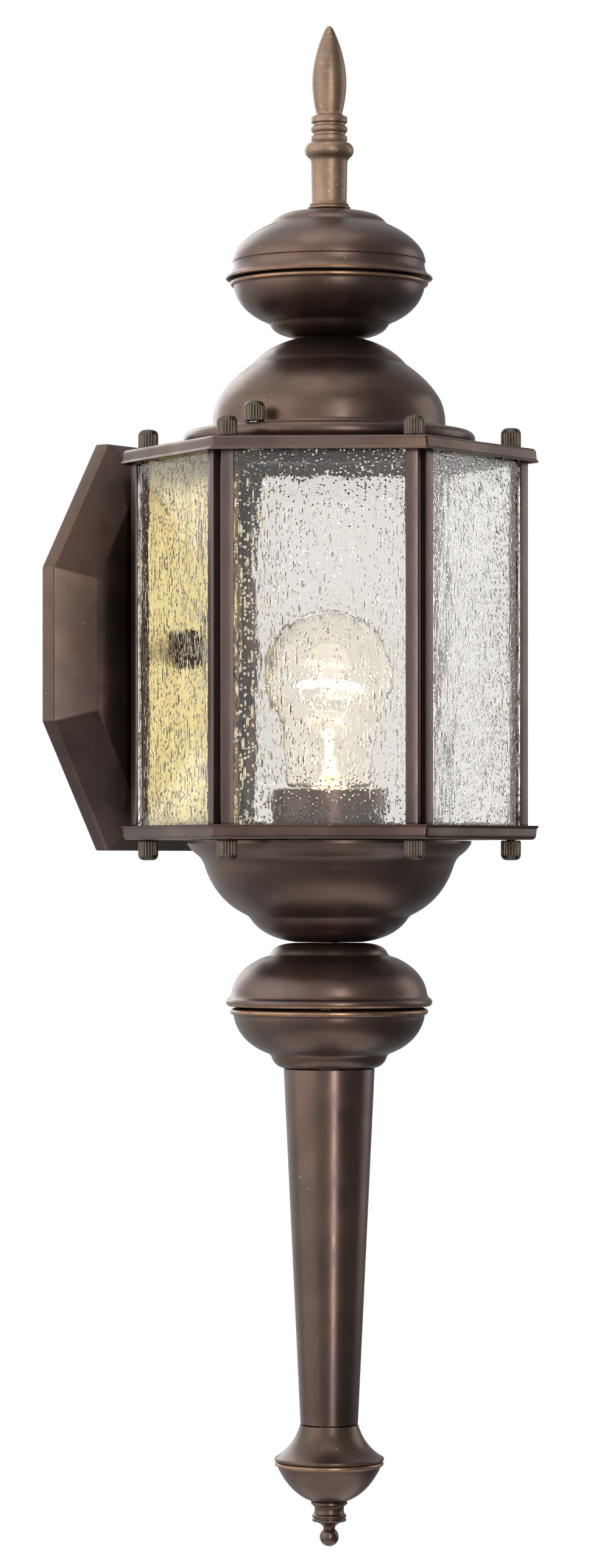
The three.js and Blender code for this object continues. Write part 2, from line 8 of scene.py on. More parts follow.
import math
from functools import cache

import bmesh
import bpy
from mathutils import Matrix, Vector, noise


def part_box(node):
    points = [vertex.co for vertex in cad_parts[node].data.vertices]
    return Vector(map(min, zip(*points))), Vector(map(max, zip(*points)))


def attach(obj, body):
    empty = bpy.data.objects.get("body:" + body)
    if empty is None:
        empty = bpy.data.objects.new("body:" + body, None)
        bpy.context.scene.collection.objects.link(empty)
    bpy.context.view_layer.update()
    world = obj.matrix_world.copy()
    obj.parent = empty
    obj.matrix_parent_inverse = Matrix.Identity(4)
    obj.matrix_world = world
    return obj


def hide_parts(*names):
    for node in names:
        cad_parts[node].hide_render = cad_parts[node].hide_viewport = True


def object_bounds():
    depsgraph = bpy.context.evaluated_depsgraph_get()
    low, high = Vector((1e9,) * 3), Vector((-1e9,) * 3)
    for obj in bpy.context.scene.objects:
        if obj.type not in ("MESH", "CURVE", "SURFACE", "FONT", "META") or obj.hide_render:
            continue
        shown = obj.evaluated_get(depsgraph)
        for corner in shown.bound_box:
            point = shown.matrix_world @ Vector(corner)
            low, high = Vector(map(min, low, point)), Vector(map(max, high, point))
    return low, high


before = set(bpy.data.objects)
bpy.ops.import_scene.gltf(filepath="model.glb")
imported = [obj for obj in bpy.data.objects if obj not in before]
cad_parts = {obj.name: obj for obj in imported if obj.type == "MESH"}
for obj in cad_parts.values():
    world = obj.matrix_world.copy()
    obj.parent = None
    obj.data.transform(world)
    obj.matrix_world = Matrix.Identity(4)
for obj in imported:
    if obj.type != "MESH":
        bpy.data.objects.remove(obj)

bl_info = {
    "name": "Wall Lantern",
    "version": (1, 0, 0),
    "blender": (4, 5, 0),
    "location": "View3D > Sidebar > Lantern",
    "description": "Builds the finish pieces of a hexagonal outdoor wall lantern",
    "category": "Object",
}

MM = 0.001
CORNERS = ("front_right", "right", "rear_right", "rear_left", "left", "front_left")
PANES = ("front", "front_right", "rear_right", "rear_left", "front_left")


def box_centre(node):
    low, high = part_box(node)
    return (low + high) / 2


def height_of(node):
    """A node's height in millimetres."""
    low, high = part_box(node)
    return (high.z - low.z) / MM


AXIS = box_centre("roof_dome").xy  # the lantern's upright centre line
LOW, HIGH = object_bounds()
UP = Vector((0, 0, 1))
CAP_RADIUS = (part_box("upper_cap")[1].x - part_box("upper_cap")[0].x) / 2
ROD_CIRCLE = box_centre("rod_right").x - AXIS.x
PANE_CENTRE = box_centre("glass_front")
PANE_CIRCLE = AXIS.y - PANE_CENTRE.y
REAR_FACE = 3  # the cage's face that holds a solid panel, counted from the front
NUT_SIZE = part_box("top_nut_right")[1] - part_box("top_nut_right")[0]


# ---- Settings ---------------------------------------------------------------------
def length(name, description, default):
    return bpy.props.FloatProperty(
        name=name, description=description, default=default, subtype="DISTANCE",
        unit="LENGTH",
    )


def colour(name, description, default):
    return bpy.props.FloatVectorProperty(
        name=name, description=description, default=default, subtype="COLOR", size=3,
        min=0.0, max=1.0,
    )


class LanternSizes(bpy.types.PropertyGroup):
    sheet: length("Sheet", "Thickness of the spun and pressed metal", 1.4 * MM)
    cap_fillet: length("Cap corner", "Radius of the caps' rounded corners", 2.6 * MM)
    plate_fold: length("Plate fold", "Radius of the wall plate's folds", 2.4 * MM)
    plate_rim: length("Plate rim", "Depth of the wall plate's rim", 6.8 * MM)
    plate_bevel: length("Plate bevel", "Width of the wall plate's bevel", 16 * MM)
    nut_flute: length("Nut flute", "Depth of a thumb nut's flutes", 0.55 * MM)
    post_strip: length("Post strip", "Flat strip beside a corner groove", 5.75 * MM)
    groove: length("Corner groove", "Half the mouth of a corner groove", 2.4 * MM)
    groove_depth: length("Groove depth", "Depth of a corner groove", 5.4 * MM)
    glass_wave: length("Glass wave", "How far the glass faces wander", 0.16 * MM)
    seed_size: length("Seed size", "Largest bubble radius in the glass", 0.5 * MM)
    nut_flutes: bpy.props.IntProperty(
        name="Nut flutes", description="Flutes around a thumb nut", default=20, min=8
    )
    seeds: bpy.props.IntProperty(
        name="Seeds", description="Bubbles in each glass pane", default=620, min=0
    )
    sides: bpy.props.IntProperty(
        name="Sides", description="Sides of a turned piece", default=112, min=24
    )


class LanternColours(bpy.types.PropertyGroup):
    bronze: colour("Bronze", "Darker oil-rubbed bronze", (0.066, 0.042, 0.033))
    bronze_warm: colour("Warm bronze", "Lighter, redder bronze", (0.132, 0.08, 0.06))
    bronze_cool: colour("Cool bronze", "Purple cast in the bronze", (0.105, 0.078, 0.076))
    copper: colour("Rubbed copper", "Bare metal on the rubbed beads", (0.36, 0.205, 0.115))
    cast: colour("Cast bronze", "Finial", (0.29, 0.198, 0.138))
    nut: colour("Nut", "Thumb nuts", (0.085, 0.066, 0.05))
    gold: colour("Gold", "Bright inside of the rear panel", (0.9, 0.73, 0.36))
    glass: colour("Glass", "Tint of the seeded glass", (0.965, 0.95, 0.925))
    glow: colour("Glow", "Light of the lamp", (1.0, 0.78, 0.44))
    floor: colour("Floor", "Studio floor", (0.86, 0.86, 0.86))


def sizes():
    return bpy.context.scene.lantern_sizes


def colours():
    return bpy.context.scene.lantern_colours


# ---- Shader helpers ---------------------------------------------------------------
def add_node(tree, kind, sockets=None, **settings):
    made = tree.nodes.new(kind)
    for name, value in settings.items():
        setattr(made, name, value)
    for name, value in (sockets or {}).items():
        made.inputs[name].default_value = value
    return made


def wire(tree, source, target):
    tree.links.new(source, target)


def rgba(value):
    return (value[0], value[1], value[2], 1.0)


def feed(tree, sockets, values):
    """Sets each socket to its value, which is a plain value or another socket."""
    for value, socket in zip(values, sockets):
        if isinstance(value, bpy.types.NodeSocket):
            wire(tree, value, socket)
        else:
            socket.default_value = value


def new_material(name, **sockets):
    """A material with the given shader values; _ in a socket's name stands for a space."""
    material = bpy.data.materials.new(name)
    material.use_nodes = True
    tree = material.node_tree
    shader = tree.nodes["Principled BSDF"]
    for socket, value in sockets.items():
        shader.inputs[socket.replace("_", " ")].default_value = value
    return material, tree, shader


def object_coordinates(tree, scale=(1, 1, 1)):
    """Object coordinates in metres, stretched by scale."""
    source = add_node(tree, "ShaderNodeTexCoord")
    mapping = add_node(tree, "ShaderNodeMapping", {"Scale": scale})
    wire(tree, source.outputs["Object"], mapping.inputs["Vector"])
    return mapping.outputs["Vector"]


def surface(tree, shader, base, roughness=None):
    """Wires a colour, and a roughness if there is one, to the shader."""
    wire(tree, base, shader.inputs["Base Color"])
    if roughness is not None:
        wire(tree, roughness, shader.inputs["Roughness"])


def noise_value(tree, scale, detail=3.0, stretch=(1, 1, 1)):
    made = add_node(tree, "ShaderNodeTexNoise", {"Scale": scale, "Detail": detail})
    wire(tree, object_coordinates(tree, stretch), made.inputs["Vector"])
    return made.outputs["Fac"]


def mapped(tree, value, low, high, to_low=0.0, to_high=1.0):
    made = add_node(
        tree, "ShaderNodeMapRange",
        {"From Min": low, "From Max": high, "To Min": to_low, "To Max": to_high},
    )
    wire(tree, value, made.inputs["Value"])
    return made.outputs["Result"]


def mixed(tree, factor, first, second):
    """Mixes two colours; each is a socket or a colour."""
    made = add_node(tree, "ShaderNodeMix", data_type="RGBA")
    colours_in = [
        value if isinstance(value, bpy.types.NodeSocket) else rgba(value)
        for value in (first, second)
    ]
    feed(tree, (made.inputs[0], made.inputs[6], made.inputs[7]), [factor] + colours_in)
    return made.outputs[2]


def math_node(tree, operation, *values):
    """A sum on sockets and plain values."""
    made = add_node(tree, "ShaderNodeMath", operation=operation)
    feed(tree, made.inputs, values)
    return made.outputs[0]


def product(tree, first, second):
    return math_node(tree, "MULTIPLY", first, second)


def total(tree, first, second):
    return math_node(tree, "ADD", first, second)


def bumped(tree, shader, height, distance, strength=1.0):
    made = add_node(tree, "ShaderNodeBump", {"Distance": distance, "Strength": strength})
    wire(tree, height, made.inputs["Height"])
    wire(tree, made.outputs["Normal"], shader.inputs["Normal"])


def rubbed(tree):
    """How far the metal is worn bare, from the piece's own attribute."""
    return add_node(tree, "ShaderNodeAttribute", attribute_name="rub").outputs["Fac"]


def cells(tree, scale, stretch, channel):
    """Distance to the nearest cell's centre, and a random value that the cell keeps."""
    made = add_node(tree, "ShaderNodeTexVoronoi", {"Scale": scale})
    wire(tree, object_coordinates(tree, stretch), made.inputs["Vector"])
    split = add_node(tree, "ShaderNodeSeparateColor")
    wire(tree, made.outputs["Color"], split.inputs["Color"])
    return made.outputs["Distance"], split.outputs[channel]


def specks(tree, scale, size, share):
    """1 inside small round specks, 0 elsewhere; share is how many cells hold one."""
    distance, lot = cells(tree, scale, (1, 1, 1), "Red")
    near = mapped(tree, distance, size, size * 0.6)
    return product(tree, near, math_node(tree, "LESS_THAN", lot, share))


# ---- Materials --------------------------------------------------------------------
DUST = (0.62, 0.56, 0.5)
CAST_RIDGE = (0.42, 0.28, 0.2)
CAST_NICK = (0.66, 0.5, 0.3)
NUT_CREST = (0.17, 0.135, 0.105)
GLASS_WARM = (0.95, 0.925, 0.88)
FROST, FROST_WARM = (1.0, 0.99, 0.965), (1.0, 0.965, 0.9)
STEEL = (0.62, 0.61, 0.58)
BASE_BRASS = (0.72, 0.62, 0.42)
PORCELAIN, PORCELAIN_STAIN = (0.83, 0.81, 0.76), (0.7, 0.66, 0.58)


def bronze_finish(name, lines, roughness=0.36, cool_from=0.0, depth=0.02):
    """Oil-rubbed bronze: a dark coat, warm and purple casts, rubbed beads and dust.
    lines is how close its marks are along each axis, and depth is theirs, in mm."""
    tones = colours()
    material, tree, shader = new_material(name, Metallic=0.9, Coat_Weight=0.12,
                                          Coat_Roughness=0.25)
    cast = mapped(tree, noise_value(tree, 22, 4), 0.38, 0.68)
    base = mixed(tree, cast, tones.bronze, tones.bronze_warm)
    cool = mapped(tree, noise_value(tree, 9, 3), 0.45, 0.75, cool_from, 0.8)
    base = mixed(tree, cool, base, tones.bronze_cool)
    broken = mapped(tree, noise_value(tree, 160, 5), 0.3, 0.6, 0.45, 1.0)
    base = mixed(tree, product(tree, rubbed(tree), broken), base, tones.copper)
    base = mixed(tree, specks(tree, 210, 0.055, 0.3), base, DUST)
    grain = mapped(tree, noise_value(tree, 70, 4), 0.3, 0.7,
                   roughness - 0.05, roughness + 0.07)
    surface(tree, shader, base, grain)
    bumped(tree, shader, noise_value(tree, 1, 3, lines), depth * MM, 0.6)
    return material


def cast_finish(name):
    """Rough cast bronze, rubbed lighter, with fine turning marks and small bright nicks."""
    tones = colours()
    material, tree, shader = new_material(name, Metallic=0.92)
    marks = noise_value(tree, 1, 4, (260, 260, 900))
    blotch = noise_value(tree, 90, 5, (1, 1, 0.5))
    dark = [0.62 * value for value in tones.cast]
    base = mixed(tree, mapped(tree, blotch, 0.3, 0.7), dark, tones.cast)
    base = mixed(tree, mapped(tree, marks, 0.52, 0.75, 0.0, 0.35), base, CAST_RIDGE)
    base = mixed(tree, specks(tree, 420, 0.16, 0.2), base, CAST_NICK)
    surface(tree, shader, base, mapped(tree, blotch, 0.3, 0.7, 0.38, 0.55))
    bumped(tree, shader, total(tree, marks, blotch), 0.06 * MM, 0.7)
    return material


def nut_finish():
    """Dark bronze whose flutes are rubbed lighter on their crests."""
    tones = colours()
    material, tree, shader = new_material("nut_bronze", Metallic=0.9)
    blotch = noise_value(tree, 260, 4)
    dark = [0.55 * value for value in tones.nut]
    base = mixed(tree, mapped(tree, blotch, 0.35, 0.65), dark, tones.nut)
    base = mixed(tree, rubbed(tree), base, NUT_CREST)
    surface(tree, shader, base, mapped(tree, blotch, 0.3, 0.7, 0.3, 0.45))
    bumped(tree, shader, noise_value(tree, 900, 3), 0.03 * MM, 0.6)
    return material


def gold_finish():
    """Bright rolled brass with upright streaks and slow ripples."""
    tones = colours()
    material, tree, shader = new_material("gold_inside", Metallic=1.0)
    streaks = noise_value(tree, 1, 4, (620, 620, 28))
    pale = [min(1.0, value * 1.2 + 0.06) for value in tones.gold]
    base = mixed(tree, mapped(tree, streaks, 0.42, 0.66), tones.gold, pale)
    surface(tree, shader, base, mapped(tree, streaks, 0.3, 0.7, 0.22, 0.4))
    bumped(tree, shader, total(tree, streaks, noise_value(tree, 30, 2)), 0.12 * MM, 0.5)
    return material


def dents(tree, stretch, reach, low, high):
    """Small dents drawn out along Z, in the share of cells that low and high leave."""
    distance, lot = cells(tree, 1.0, stretch, "Green")
    dent = mapped(tree, distance, reach, 0.04)
    return product(tree, dent, mapped(tree, lot, low, high))


def seed_height(tree):
    """Height of seeded glass: fine and long dents over slow drawn streaks."""
    fine = dents(tree, (640, 640, 460), 0.36, 0.52, 0.62)
    long = dents(tree, (480, 480, 110), 0.32, 0.55, 0.65)
    grain = noise_value(tree, 1, 3, (260, 260, 130))
    streaks = noise_value(tree, 1, 2, (150, 150, 30))
    waves = total(tree, product(tree, streaks, 0.7), product(tree, grain, 0.35))
    return total(tree, total(tree, fine, long), waves)


def glass_finish():
    """Seeded glass with a faint warm tint."""
    material, tree, shader = new_material(
        "seeded_glass", Transmission_Weight=1.0, IOR=1.46, Roughness=0.015,
        Base_Color=rgba(colours().glass),
    )
    tint = mapped(tree, noise_value(tree, 40, 2), 0.3, 0.7, 0.0, 0.4)
    surface(tree, shader, mixed(tree, tint, colours().glass, GLASS_WARM))
    bumped(tree, shader, seed_height(tree), 0.25 * MM, 1.0)
    return material


def bubble_finish():
    """Air inside glass: light bends the other way as it enters."""
    material, tree, shader = new_material(
        "glass_bubble", Transmission_Weight=1.0, IOR=0.69, Roughness=0.0
    )
    surface(tree, shader,
            mixed(tree, noise_value(tree, 300, 1), (1.0, 1.0, 1.0), (0.98, 0.97, 0.94)))
    return material


def bulb_glass_finish():
    """Thin, faintly frosted glass that the filament makes glow a little."""
    material, tree, shader = new_material(
        "bulb_glass", Transmission_Weight=1.0, IOR=1.22, Roughness=0.03,
        Emission_Color=rgba(colours().glow), Emission_Strength=0.01,
    )
    frost = mapped(tree, noise_value(tree, 500, 2), 0.3, 0.7, 0.0, 0.5)
    surface(tree, shader, mixed(tree, frost, FROST, FROST_WARM))
    return material


def filament_finish():
    """White-hot wire."""
    material, tree, shader = new_material("filament", Roughness=0.5, Emission_Strength=60.0)
    heat = mapped(tree, noise_value(tree, 300, 2), 0.3, 0.7, 0.0, 0.5)
    wire(tree, mixed(tree, heat, (1.0, 0.8, 0.48), (1.0, 0.9, 0.7)),
         shader.inputs["Emission Color"])
    return material


def stem_finish():
    """The bulb's inner glass stem, lit by the filament."""
    material, tree, shader = new_material(
        "bulb_stem_glass", Transmission_Weight=1.0, IOR=1.3, Roughness=0.12,
        Emission_Color=rgba(colours().glow), Emission_Strength=0.7,
    )
    surface(tree, shader,
            mixed(tree, noise_value(tree, 200, 2), (1.0, 0.98, 0.94), (1.0, 0.93, 0.82)))
    return material


def plated_finish(name, tone):
    """Plated metal with a drawn grain."""
    material, tree, shader = new_material(name, Metallic=1.0)
    grain = noise_value(tree, 1, 4, (300, 300, 900))
    dark = [0.7 * value for value in tone]
    surface(tree, shader, mixed(tree, mapped(tree, grain, 0.3, 0.7), dark, tone),
            mapped(tree, noise_value(tree, 120, 3), 0.3, 0.7, 0.28, 0.46))
    bumped(tree, shader, grain, 0.02 * MM, 0.5)
    return material


def porcelain_finish():
    """Glazed porcelain, slightly stained."""
    material, tree, shader = new_material(
        "porcelain", Roughness=0.25, Coat_Weight=0.4, Coat_Roughness=0.08
    )
    stain = mapped(tree, noise_value(tree, 60, 4), 0.4, 0.75, 0.0, 0.6)
    surface(tree, shader, mixed(tree, stain, PORCELAIN, PORCELAIN_STAIN))
    bumped(tree, shader, noise_value(tree, 240, 3), 0.03 * MM, 0.5)
    return material


MAKERS = {
    "bronze_spun": lambda: bronze_finish("bronze_spun", (40, 40, 1300)),
    "bronze_pressed": lambda: bronze_finish("bronze_pressed", (420, 420, 420), 0.38),
    "bronze_cast": lambda: bronze_finish("bronze_cast", (700, 700, 700), 0.33),
    "bronze_folded": lambda: bronze_finish("bronze_folded", (420, 420, 60), 0.34, 0.5),
    "bronze_tube": lambda: bronze_finish("bronze_tube", (900, 900, 40), 0.3, depth=0.008),
    "cast_bronze": lambda: cast_finish("cast_bronze"),
    "nut_bronze": nut_finish,
    "gold_inside": gold_finish,
    "seeded_glass": glass_finish,
    "glass_bubble": bubble_finish,
    "bulb_glass": bulb_glass_finish,
    "filament": filament_finish,
    "bulb_stem_glass": stem_finish,
    "steel": lambda: plated_finish("steel", STEEL),
    "base_metal": lambda: plated_finish("base_metal", BASE_BRASS),
    "porcelain": porcelain_finish,
}


@cache
def finish(name):
    """The finish of that name, made the first time it is asked for."""
    return MAKERS[name]()


# ---- Shape helpers ----------------------------------------------------------------
class Outline:
    """An outline in millimetres of radius and height, from bends, lines and arcs."""

    def __init__(self, radius, height):
        self.points = [(radius, height)]

    def line(self, *corners):
        self.points.extend(corners)
        return self

    def curve(self, control, end, steps=10):
        """A bend from the last point to the end, drawn towards the control point."""
        start = self.points[-1]
        for i in range(1, steps + 1):
            t = i / steps
            self.points.append(tuple(
                (1 - t) ** 2 * a + 2 * t * (1 - t) * b + t * t * c
                for a, b, c in zip(start, control, end)
            ))
        return self

    def arc(self, centre, size, start, end, steps=8):
        """Part of a circle, between two angles in degrees."""
        for i in range(steps + 1):
            angle = math.radians(start + (end - start) * i / steps)
            self.points.append(
                (centre[0] + size * math.cos(angle), centre[1] + size * math.sin(angle))
            )
        return self

    def walled(self, thickness):
        """Closes the outline into a wall, on the left of its direction."""
        outer = [Vector(point) for point in self.points]
        inner = []
        for i, point in enumerate(outer):
            before = outer[max(i - 1, 0)]
            after = outer[min(i + 1, len(outer) - 1)]
            first = (point - before).normalized() if i else Vector((0, 0))
            second = (after - point).normalized() if i < len(outer) - 1 else Vector((0, 0))
            along = (first + second).normalized()
            inner.append(point + Vector((-along.y, along.x)) * thickness)
        for edge, kept in ((0, outer[0]), (-1, outer[-1])):
            if abs(inner[edge].y - kept.y) < abs(inner[edge].x - kept.x):
                inner[edge].y = kept.y
            else:
                inner[edge].x = kept.x
        self.points = [tuple(point) for point in outer + inner[::-1]]
        return self


def linked(name, data):
    """An object in the scene, for a mesh, a light or a camera."""
    made = bpy.data.objects.new(name, data)
    bpy.context.scene.collection.objects.link(made)
    return made


def new_object(name, vertices, faces, material, smooth_angle=35):
    mesh = bpy.data.meshes.new(name)
    mesh.from_pydata([tuple(v) for v in vertices], [], faces)
    mesh.validate()
    mesh.materials.append(material)
    made = linked(name, mesh)
    smooth(made, smooth_angle)
    return made


def smooth(piece, angle):
    piece.data.shade_smooth()
    piece.data.set_sharp_from_angle(angle=math.radians(angle))


def turned(name, outline, base, material, rubs=(), centre=AXIS, angle=35, sides=None):
    """Turns an outline about an upright line; base is its zero height in metres.
    rubs are (height, half width) bands in millimetres that are worn to bare metal."""
    points = list(outline.points)
    area = sum(
        a[0] * b[1] - b[0] * a[1] for a, b in zip(points, points[1:] + points[:1])
    )
    if area < 0:
        points.reverse()
    sides = sides or sizes().sides
    on_axis = points[0][0] == 0 and points[-1][0] == 0
    vertices, rows, rub = [], [], []
    for radius, height in points:
        worn = max((1 - abs(height - at) / reach for at, reach in rubs), default=0)
        count = 1 if radius == 0 else sides
        rows.append(range(len(vertices), len(vertices) + count))
        rub += [max(0.0, min(0.8, worn))] * count
        for i in range(count):
            turn = 2 * math.pi * i / sides
            vertices.append((
                centre[0] + radius * MM * math.sin(turn),
                centre[1] - radius * MM * math.cos(turn),
                base + height * MM,
            ))
    faces = []
    pairs = list(zip(rows, rows[1:]))
    if not on_axis:
        pairs.append((rows[-1], rows[0]))
    for lower, upper in pairs:
        for i in range(sides):
            j = (i + 1) % sides
            if len(lower) == 1 and len(upper) == 1:
                break
            if len(lower) == 1:
                faces.append((lower[0], upper[j], upper[i]))
            elif len(upper) == 1:
                faces.append((lower[i], lower[j], upper[0]))
            else:
                faces.append((lower[i], lower[j], upper[j], upper[i]))
    piece = new_object(name, vertices, faces, material, angle)
    attribute = piece.data.attributes.new("rub", "FLOAT", "POINT")
    attribute.data.foreach_set("value", rub)
    return piece


def lofted(name, rings, material, closed=True, angle=35):
    """Joins like rings by bands; a closed loft runs back to its first ring."""
    count = len(rings[0])
    vertices = [point for ring in rings for point in ring]
    faces = []
    steps = len(rings) if closed else len(rings) - 1
    for r in range(steps):
        a, b = r * count, ((r + 1) % len(rings)) * count
        for i in range(count):
            j = (i + 1) % count
            faces.append((a + i, a + j, b + j, b + i))
    if not closed:
        faces.append(tuple(reversed(range(count))))
        last = (len(rings) - 1) * count
        faces.append(tuple(range(last, last + count)))
    return new_object(name, vertices, faces, material, angle)


def rounded_hexagon(corner, fillet, height, arc_steps=6, side_steps=6):
    """Points of a hexagon with rounded corners, anticlockwise from above."""
    middle = corner - fillet / math.sin(math.radians(60))

    def on_corner(azimuth, way):
        at, turn = math.radians(azimuth), math.radians(way)
        return Vector((
            AXIS.x + middle * math.sin(at) + fillet * math.sin(turn),
            AXIS.y - middle * math.cos(at) - fillet * math.cos(turn),
            height,
        ))

    points = []
    for azimuth in range(30, 390, 60):
        points += [
            on_corner(azimuth, azimuth - 30 + 60 * i / arc_steps)
            for i in range(arc_steps + 1)
        ]
        start, end = points[-1], on_corner(azimuth + 60, azimuth + 30)
        points += [start.lerp(end, i / side_steps) for i in range(1, side_steps)]
    return points


def sheet_faces(columns, rows):
    """Faces of two like grids of points, back to back, and of the rim between them."""
    layer = (rows + 1) * (columns + 1)
    faces = []
    for side in (0, 1):
        for r in range(rows):
            for c in range(columns):
                a = side * layer + r * (columns + 1) + c
                quad = (a, a + 1, a + columns + 2, a + columns + 1)
                faces.append(quad if side == 0 else quad[::-1])
    rim = list(range(columns + 1))
    rim += [r * (columns + 1) + columns for r in range(1, rows + 1)]
    rim += [rows * (columns + 1) + c for c in range(columns - 1, -1, -1)]
    rim += [r * (columns + 1) for r in range(rows - 1, 0, -1)]
    faces += [(b, a, a + layer, b + layer) for a, b in zip(rim, rim[1:] + rim[:1])]
    return faces


def onto_circle(ring, radius, height):
    """The ring's points drawn straight in towards the axis, onto a circle."""
    made = []
    for point in ring:
        away = (point.xy - AXIS).normalized() * radius
        made.append(Vector((AXIS.x + away.x, AXIS.y + away.y, height)))
    return made


def bevelled(piece, width, segments=3, angle=25):
    """Rounds the piece's folds and returns it as a plain mesh."""
    bevel = piece.modifiers.new("Folds", "BEVEL")
    bevel.width = width
    bevel.segments = segments
    bevel.limit_method = "ANGLE"
    bevel.angle_limit = math.radians(angle)
    return baked(piece)


def baked(piece):
    """Turns the piece with its modifiers into a plain mesh and removes them."""
    bpy.context.view_layer.update()
    evaluated = piece.evaluated_get(bpy.context.evaluated_depsgraph_get())
    mesh = bpy.data.meshes.new_from_object(evaluated)
    piece.modifiers.clear()
    piece.data = mesh
    return piece


def outward(piece):
    """Points the faces of a single closed surface outwards."""
    mesh = bmesh.new()
    mesh.from_mesh(piece.data)
    bmesh.ops.remove_doubles(mesh, verts=mesh.verts, dist=1e-7)
    bmesh.ops.recalc_face_normals(mesh, faces=mesh.faces)
    mesh.to_mesh(piece.data)
    mesh.free()
    return piece


def place(piece, body, slot, *nodes):
    """Hangs a finished piece on its body, in place of the nodes that it stands for."""
    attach(piece, body)
    if nodes:
        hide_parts(*nodes)
    return piece


def spun(node, outline, body, slot="bronze", material="bronze_spun", **options):
    """Turns an outline from the foot of the node that it replaces."""
    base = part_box(node)[0].z
    piece = turned(node + "_finish", outline, base, finish(material), **options)
    return place(piece, body, slot, node)


# ---- Geometry Nodes ---------------------------------------------------------------
FLUTE_SHARPNESS = 1.6
SEED_SMALLEST = 0.2
SEED_SIZE_BIAS = 4.0
SEED_STRETCH = (1.2, 3.6)


def new_tree(name, inputs):
    """A node tree with a geometry in and out and the given named inputs."""
    tree = bpy.data.node_groups.new(name, "GeometryNodeTree")
    tree.interface.new_socket("Geometry", in_out="OUTPUT", socket_type="NodeSocketGeometry")
    tree.interface.new_socket("Geometry", in_out="INPUT", socket_type="NodeSocketGeometry")
    for label, kind in inputs:
        tree.interface.new_socket(label, in_out="INPUT", socket_type="NodeSocket" + kind)
    return tree, add_node(tree, "NodeGroupInput"), add_node(tree, "NodeGroupOutput")


def joined(tree, **parts):
    """A vector of the given parts, X, Y or Z; the others are zero."""
    made = add_node(tree, "ShaderNodeCombineXYZ")
    for axis, value in parts.items():
        wire(tree, value, made.inputs[axis])
    return made.outputs[0]


def vector_node(tree, operation, *values):
    made = add_node(tree, "ShaderNodeVectorMath", operation=operation)
    feed(tree, made.inputs, values)
    return made


def end_tree(tree, geometry, material, target):
    """Ends every tree: copies are made real and the material is set."""
    realized = add_node(tree, "GeometryNodeRealizeInstances")
    painted = add_node(tree, "GeometryNodeSetMaterial")
    wire(tree, geometry, realized.inputs["Geometry"])
    wire(tree, realized.outputs["Geometry"], painted.inputs["Geometry"])
    wire(tree, material, painted.inputs["Material"])
    wire(tree, painted.outputs["Geometry"], target.inputs["Geometry"])


def grown(piece, tree, values):
    """Runs a tree on the piece, with inputs set by their sockets' identifiers."""
    modifier = piece.modifiers.new(tree.name, "NODES")
    modifier.node_group = tree
    for item in tree.interface.items_tree:
        if item.in_out == "INPUT" and item.name in values:
            modifier[item.identifier] = values[item.name]
    return baked(piece)


@cache
def copies_tree():
    """Copies of a piece around the lantern's axis, each turned to face outwards."""
    tree, start, end = new_tree("Copies Round Axis", (
        ("Count", "Int"), ("Circle", "Float"), ("First Angle", "Float"), ("Skip", "Int"),
        ("Centre", "Vector"), ("Material", "Material"),
    ))
    index = add_node(tree, "GeometryNodeInputIndex").outputs[0]
    step = math_node(tree, "DIVIDE", 2 * math.pi, start.outputs["Count"])
    angle = total(tree, product(tree, index, step), start.outputs["First Angle"])
    across = product(tree, math_node(tree, "SINE", angle), start.outputs["Circle"])
    forward = product(tree, math_node(tree, "COSINE", angle), start.outputs["Circle"])
    offset = joined(tree, X=across, Y=product(tree, forward, -1.0))
    spot = vector_node(tree, "ADD", offset, start.outputs["Centre"])
    points = add_node(tree, "GeometryNodePoints")
    wire(tree, start.outputs["Count"], points.inputs["Count"])
    wire(tree, spot.outputs[0], points.inputs["Position"])
    kept = add_node(tree, "FunctionNodeCompare", data_type="INT", operation="NOT_EQUAL")
    wire(tree, index, kept.inputs[2])
    wire(tree, start.outputs["Skip"], kept.inputs[3])
    copies = add_node(tree, "GeometryNodeInstanceOnPoints")
    wire(tree, points.outputs[0], copies.inputs["Points"])
    wire(tree, kept.outputs[0], copies.inputs["Selection"])
    wire(tree, start.outputs["Geometry"], copies.inputs["Instance"])
    wire(tree, joined(tree, Z=angle), copies.inputs["Rotation"])
    end_tree(tree, copies.outputs[0], start.outputs["Material"], end)
    return tree


def barrel(tree, start):
    """Reads a point on an upright barrel at the origin: its height, its angle round the
    barrel, its place with the height left out, and 1 between Low and High, 0 elsewhere."""
    position = add_node(tree, "GeometryNodeInputPosition")
    split = add_node(tree, "ShaderNodeSeparateXYZ")
    wire(tree, position.outputs[0], split.inputs[0])
    x, y, z = (split.outputs[axis] for axis in "XYZ")
    above = math_node(tree, "GREATER_THAN", z, start.outputs["Low"])
    below = math_node(tree, "LESS_THAN", z, start.outputs["High"])
    angle = math_node(tree, "ARCTAN2", y, x)
    return z, angle, joined(tree, X=x, Y=y), product(tree, above, below)


def cut_in(tree, start, end, flat, share):
    """Ends a tree by moving points straight in by a share of its Depth."""
    push = product(tree, product(tree, share, start.outputs["Depth"]), -1.0)
    way = vector_node(tree, "NORMALIZE", flat)
    offset = vector_node(tree, "SCALE", way.outputs[0])
    wire(tree, push, offset.inputs["Scale"])
    moved = add_node(tree, "GeometryNodeSetPosition")
    wire(tree, start.outputs["Geometry"], moved.inputs["Geometry"])
    wire(tree, offset.outputs[0], moved.inputs["Offset"])
    end_tree(tree, moved.outputs[0], start.outputs["Material"], end)
    return tree


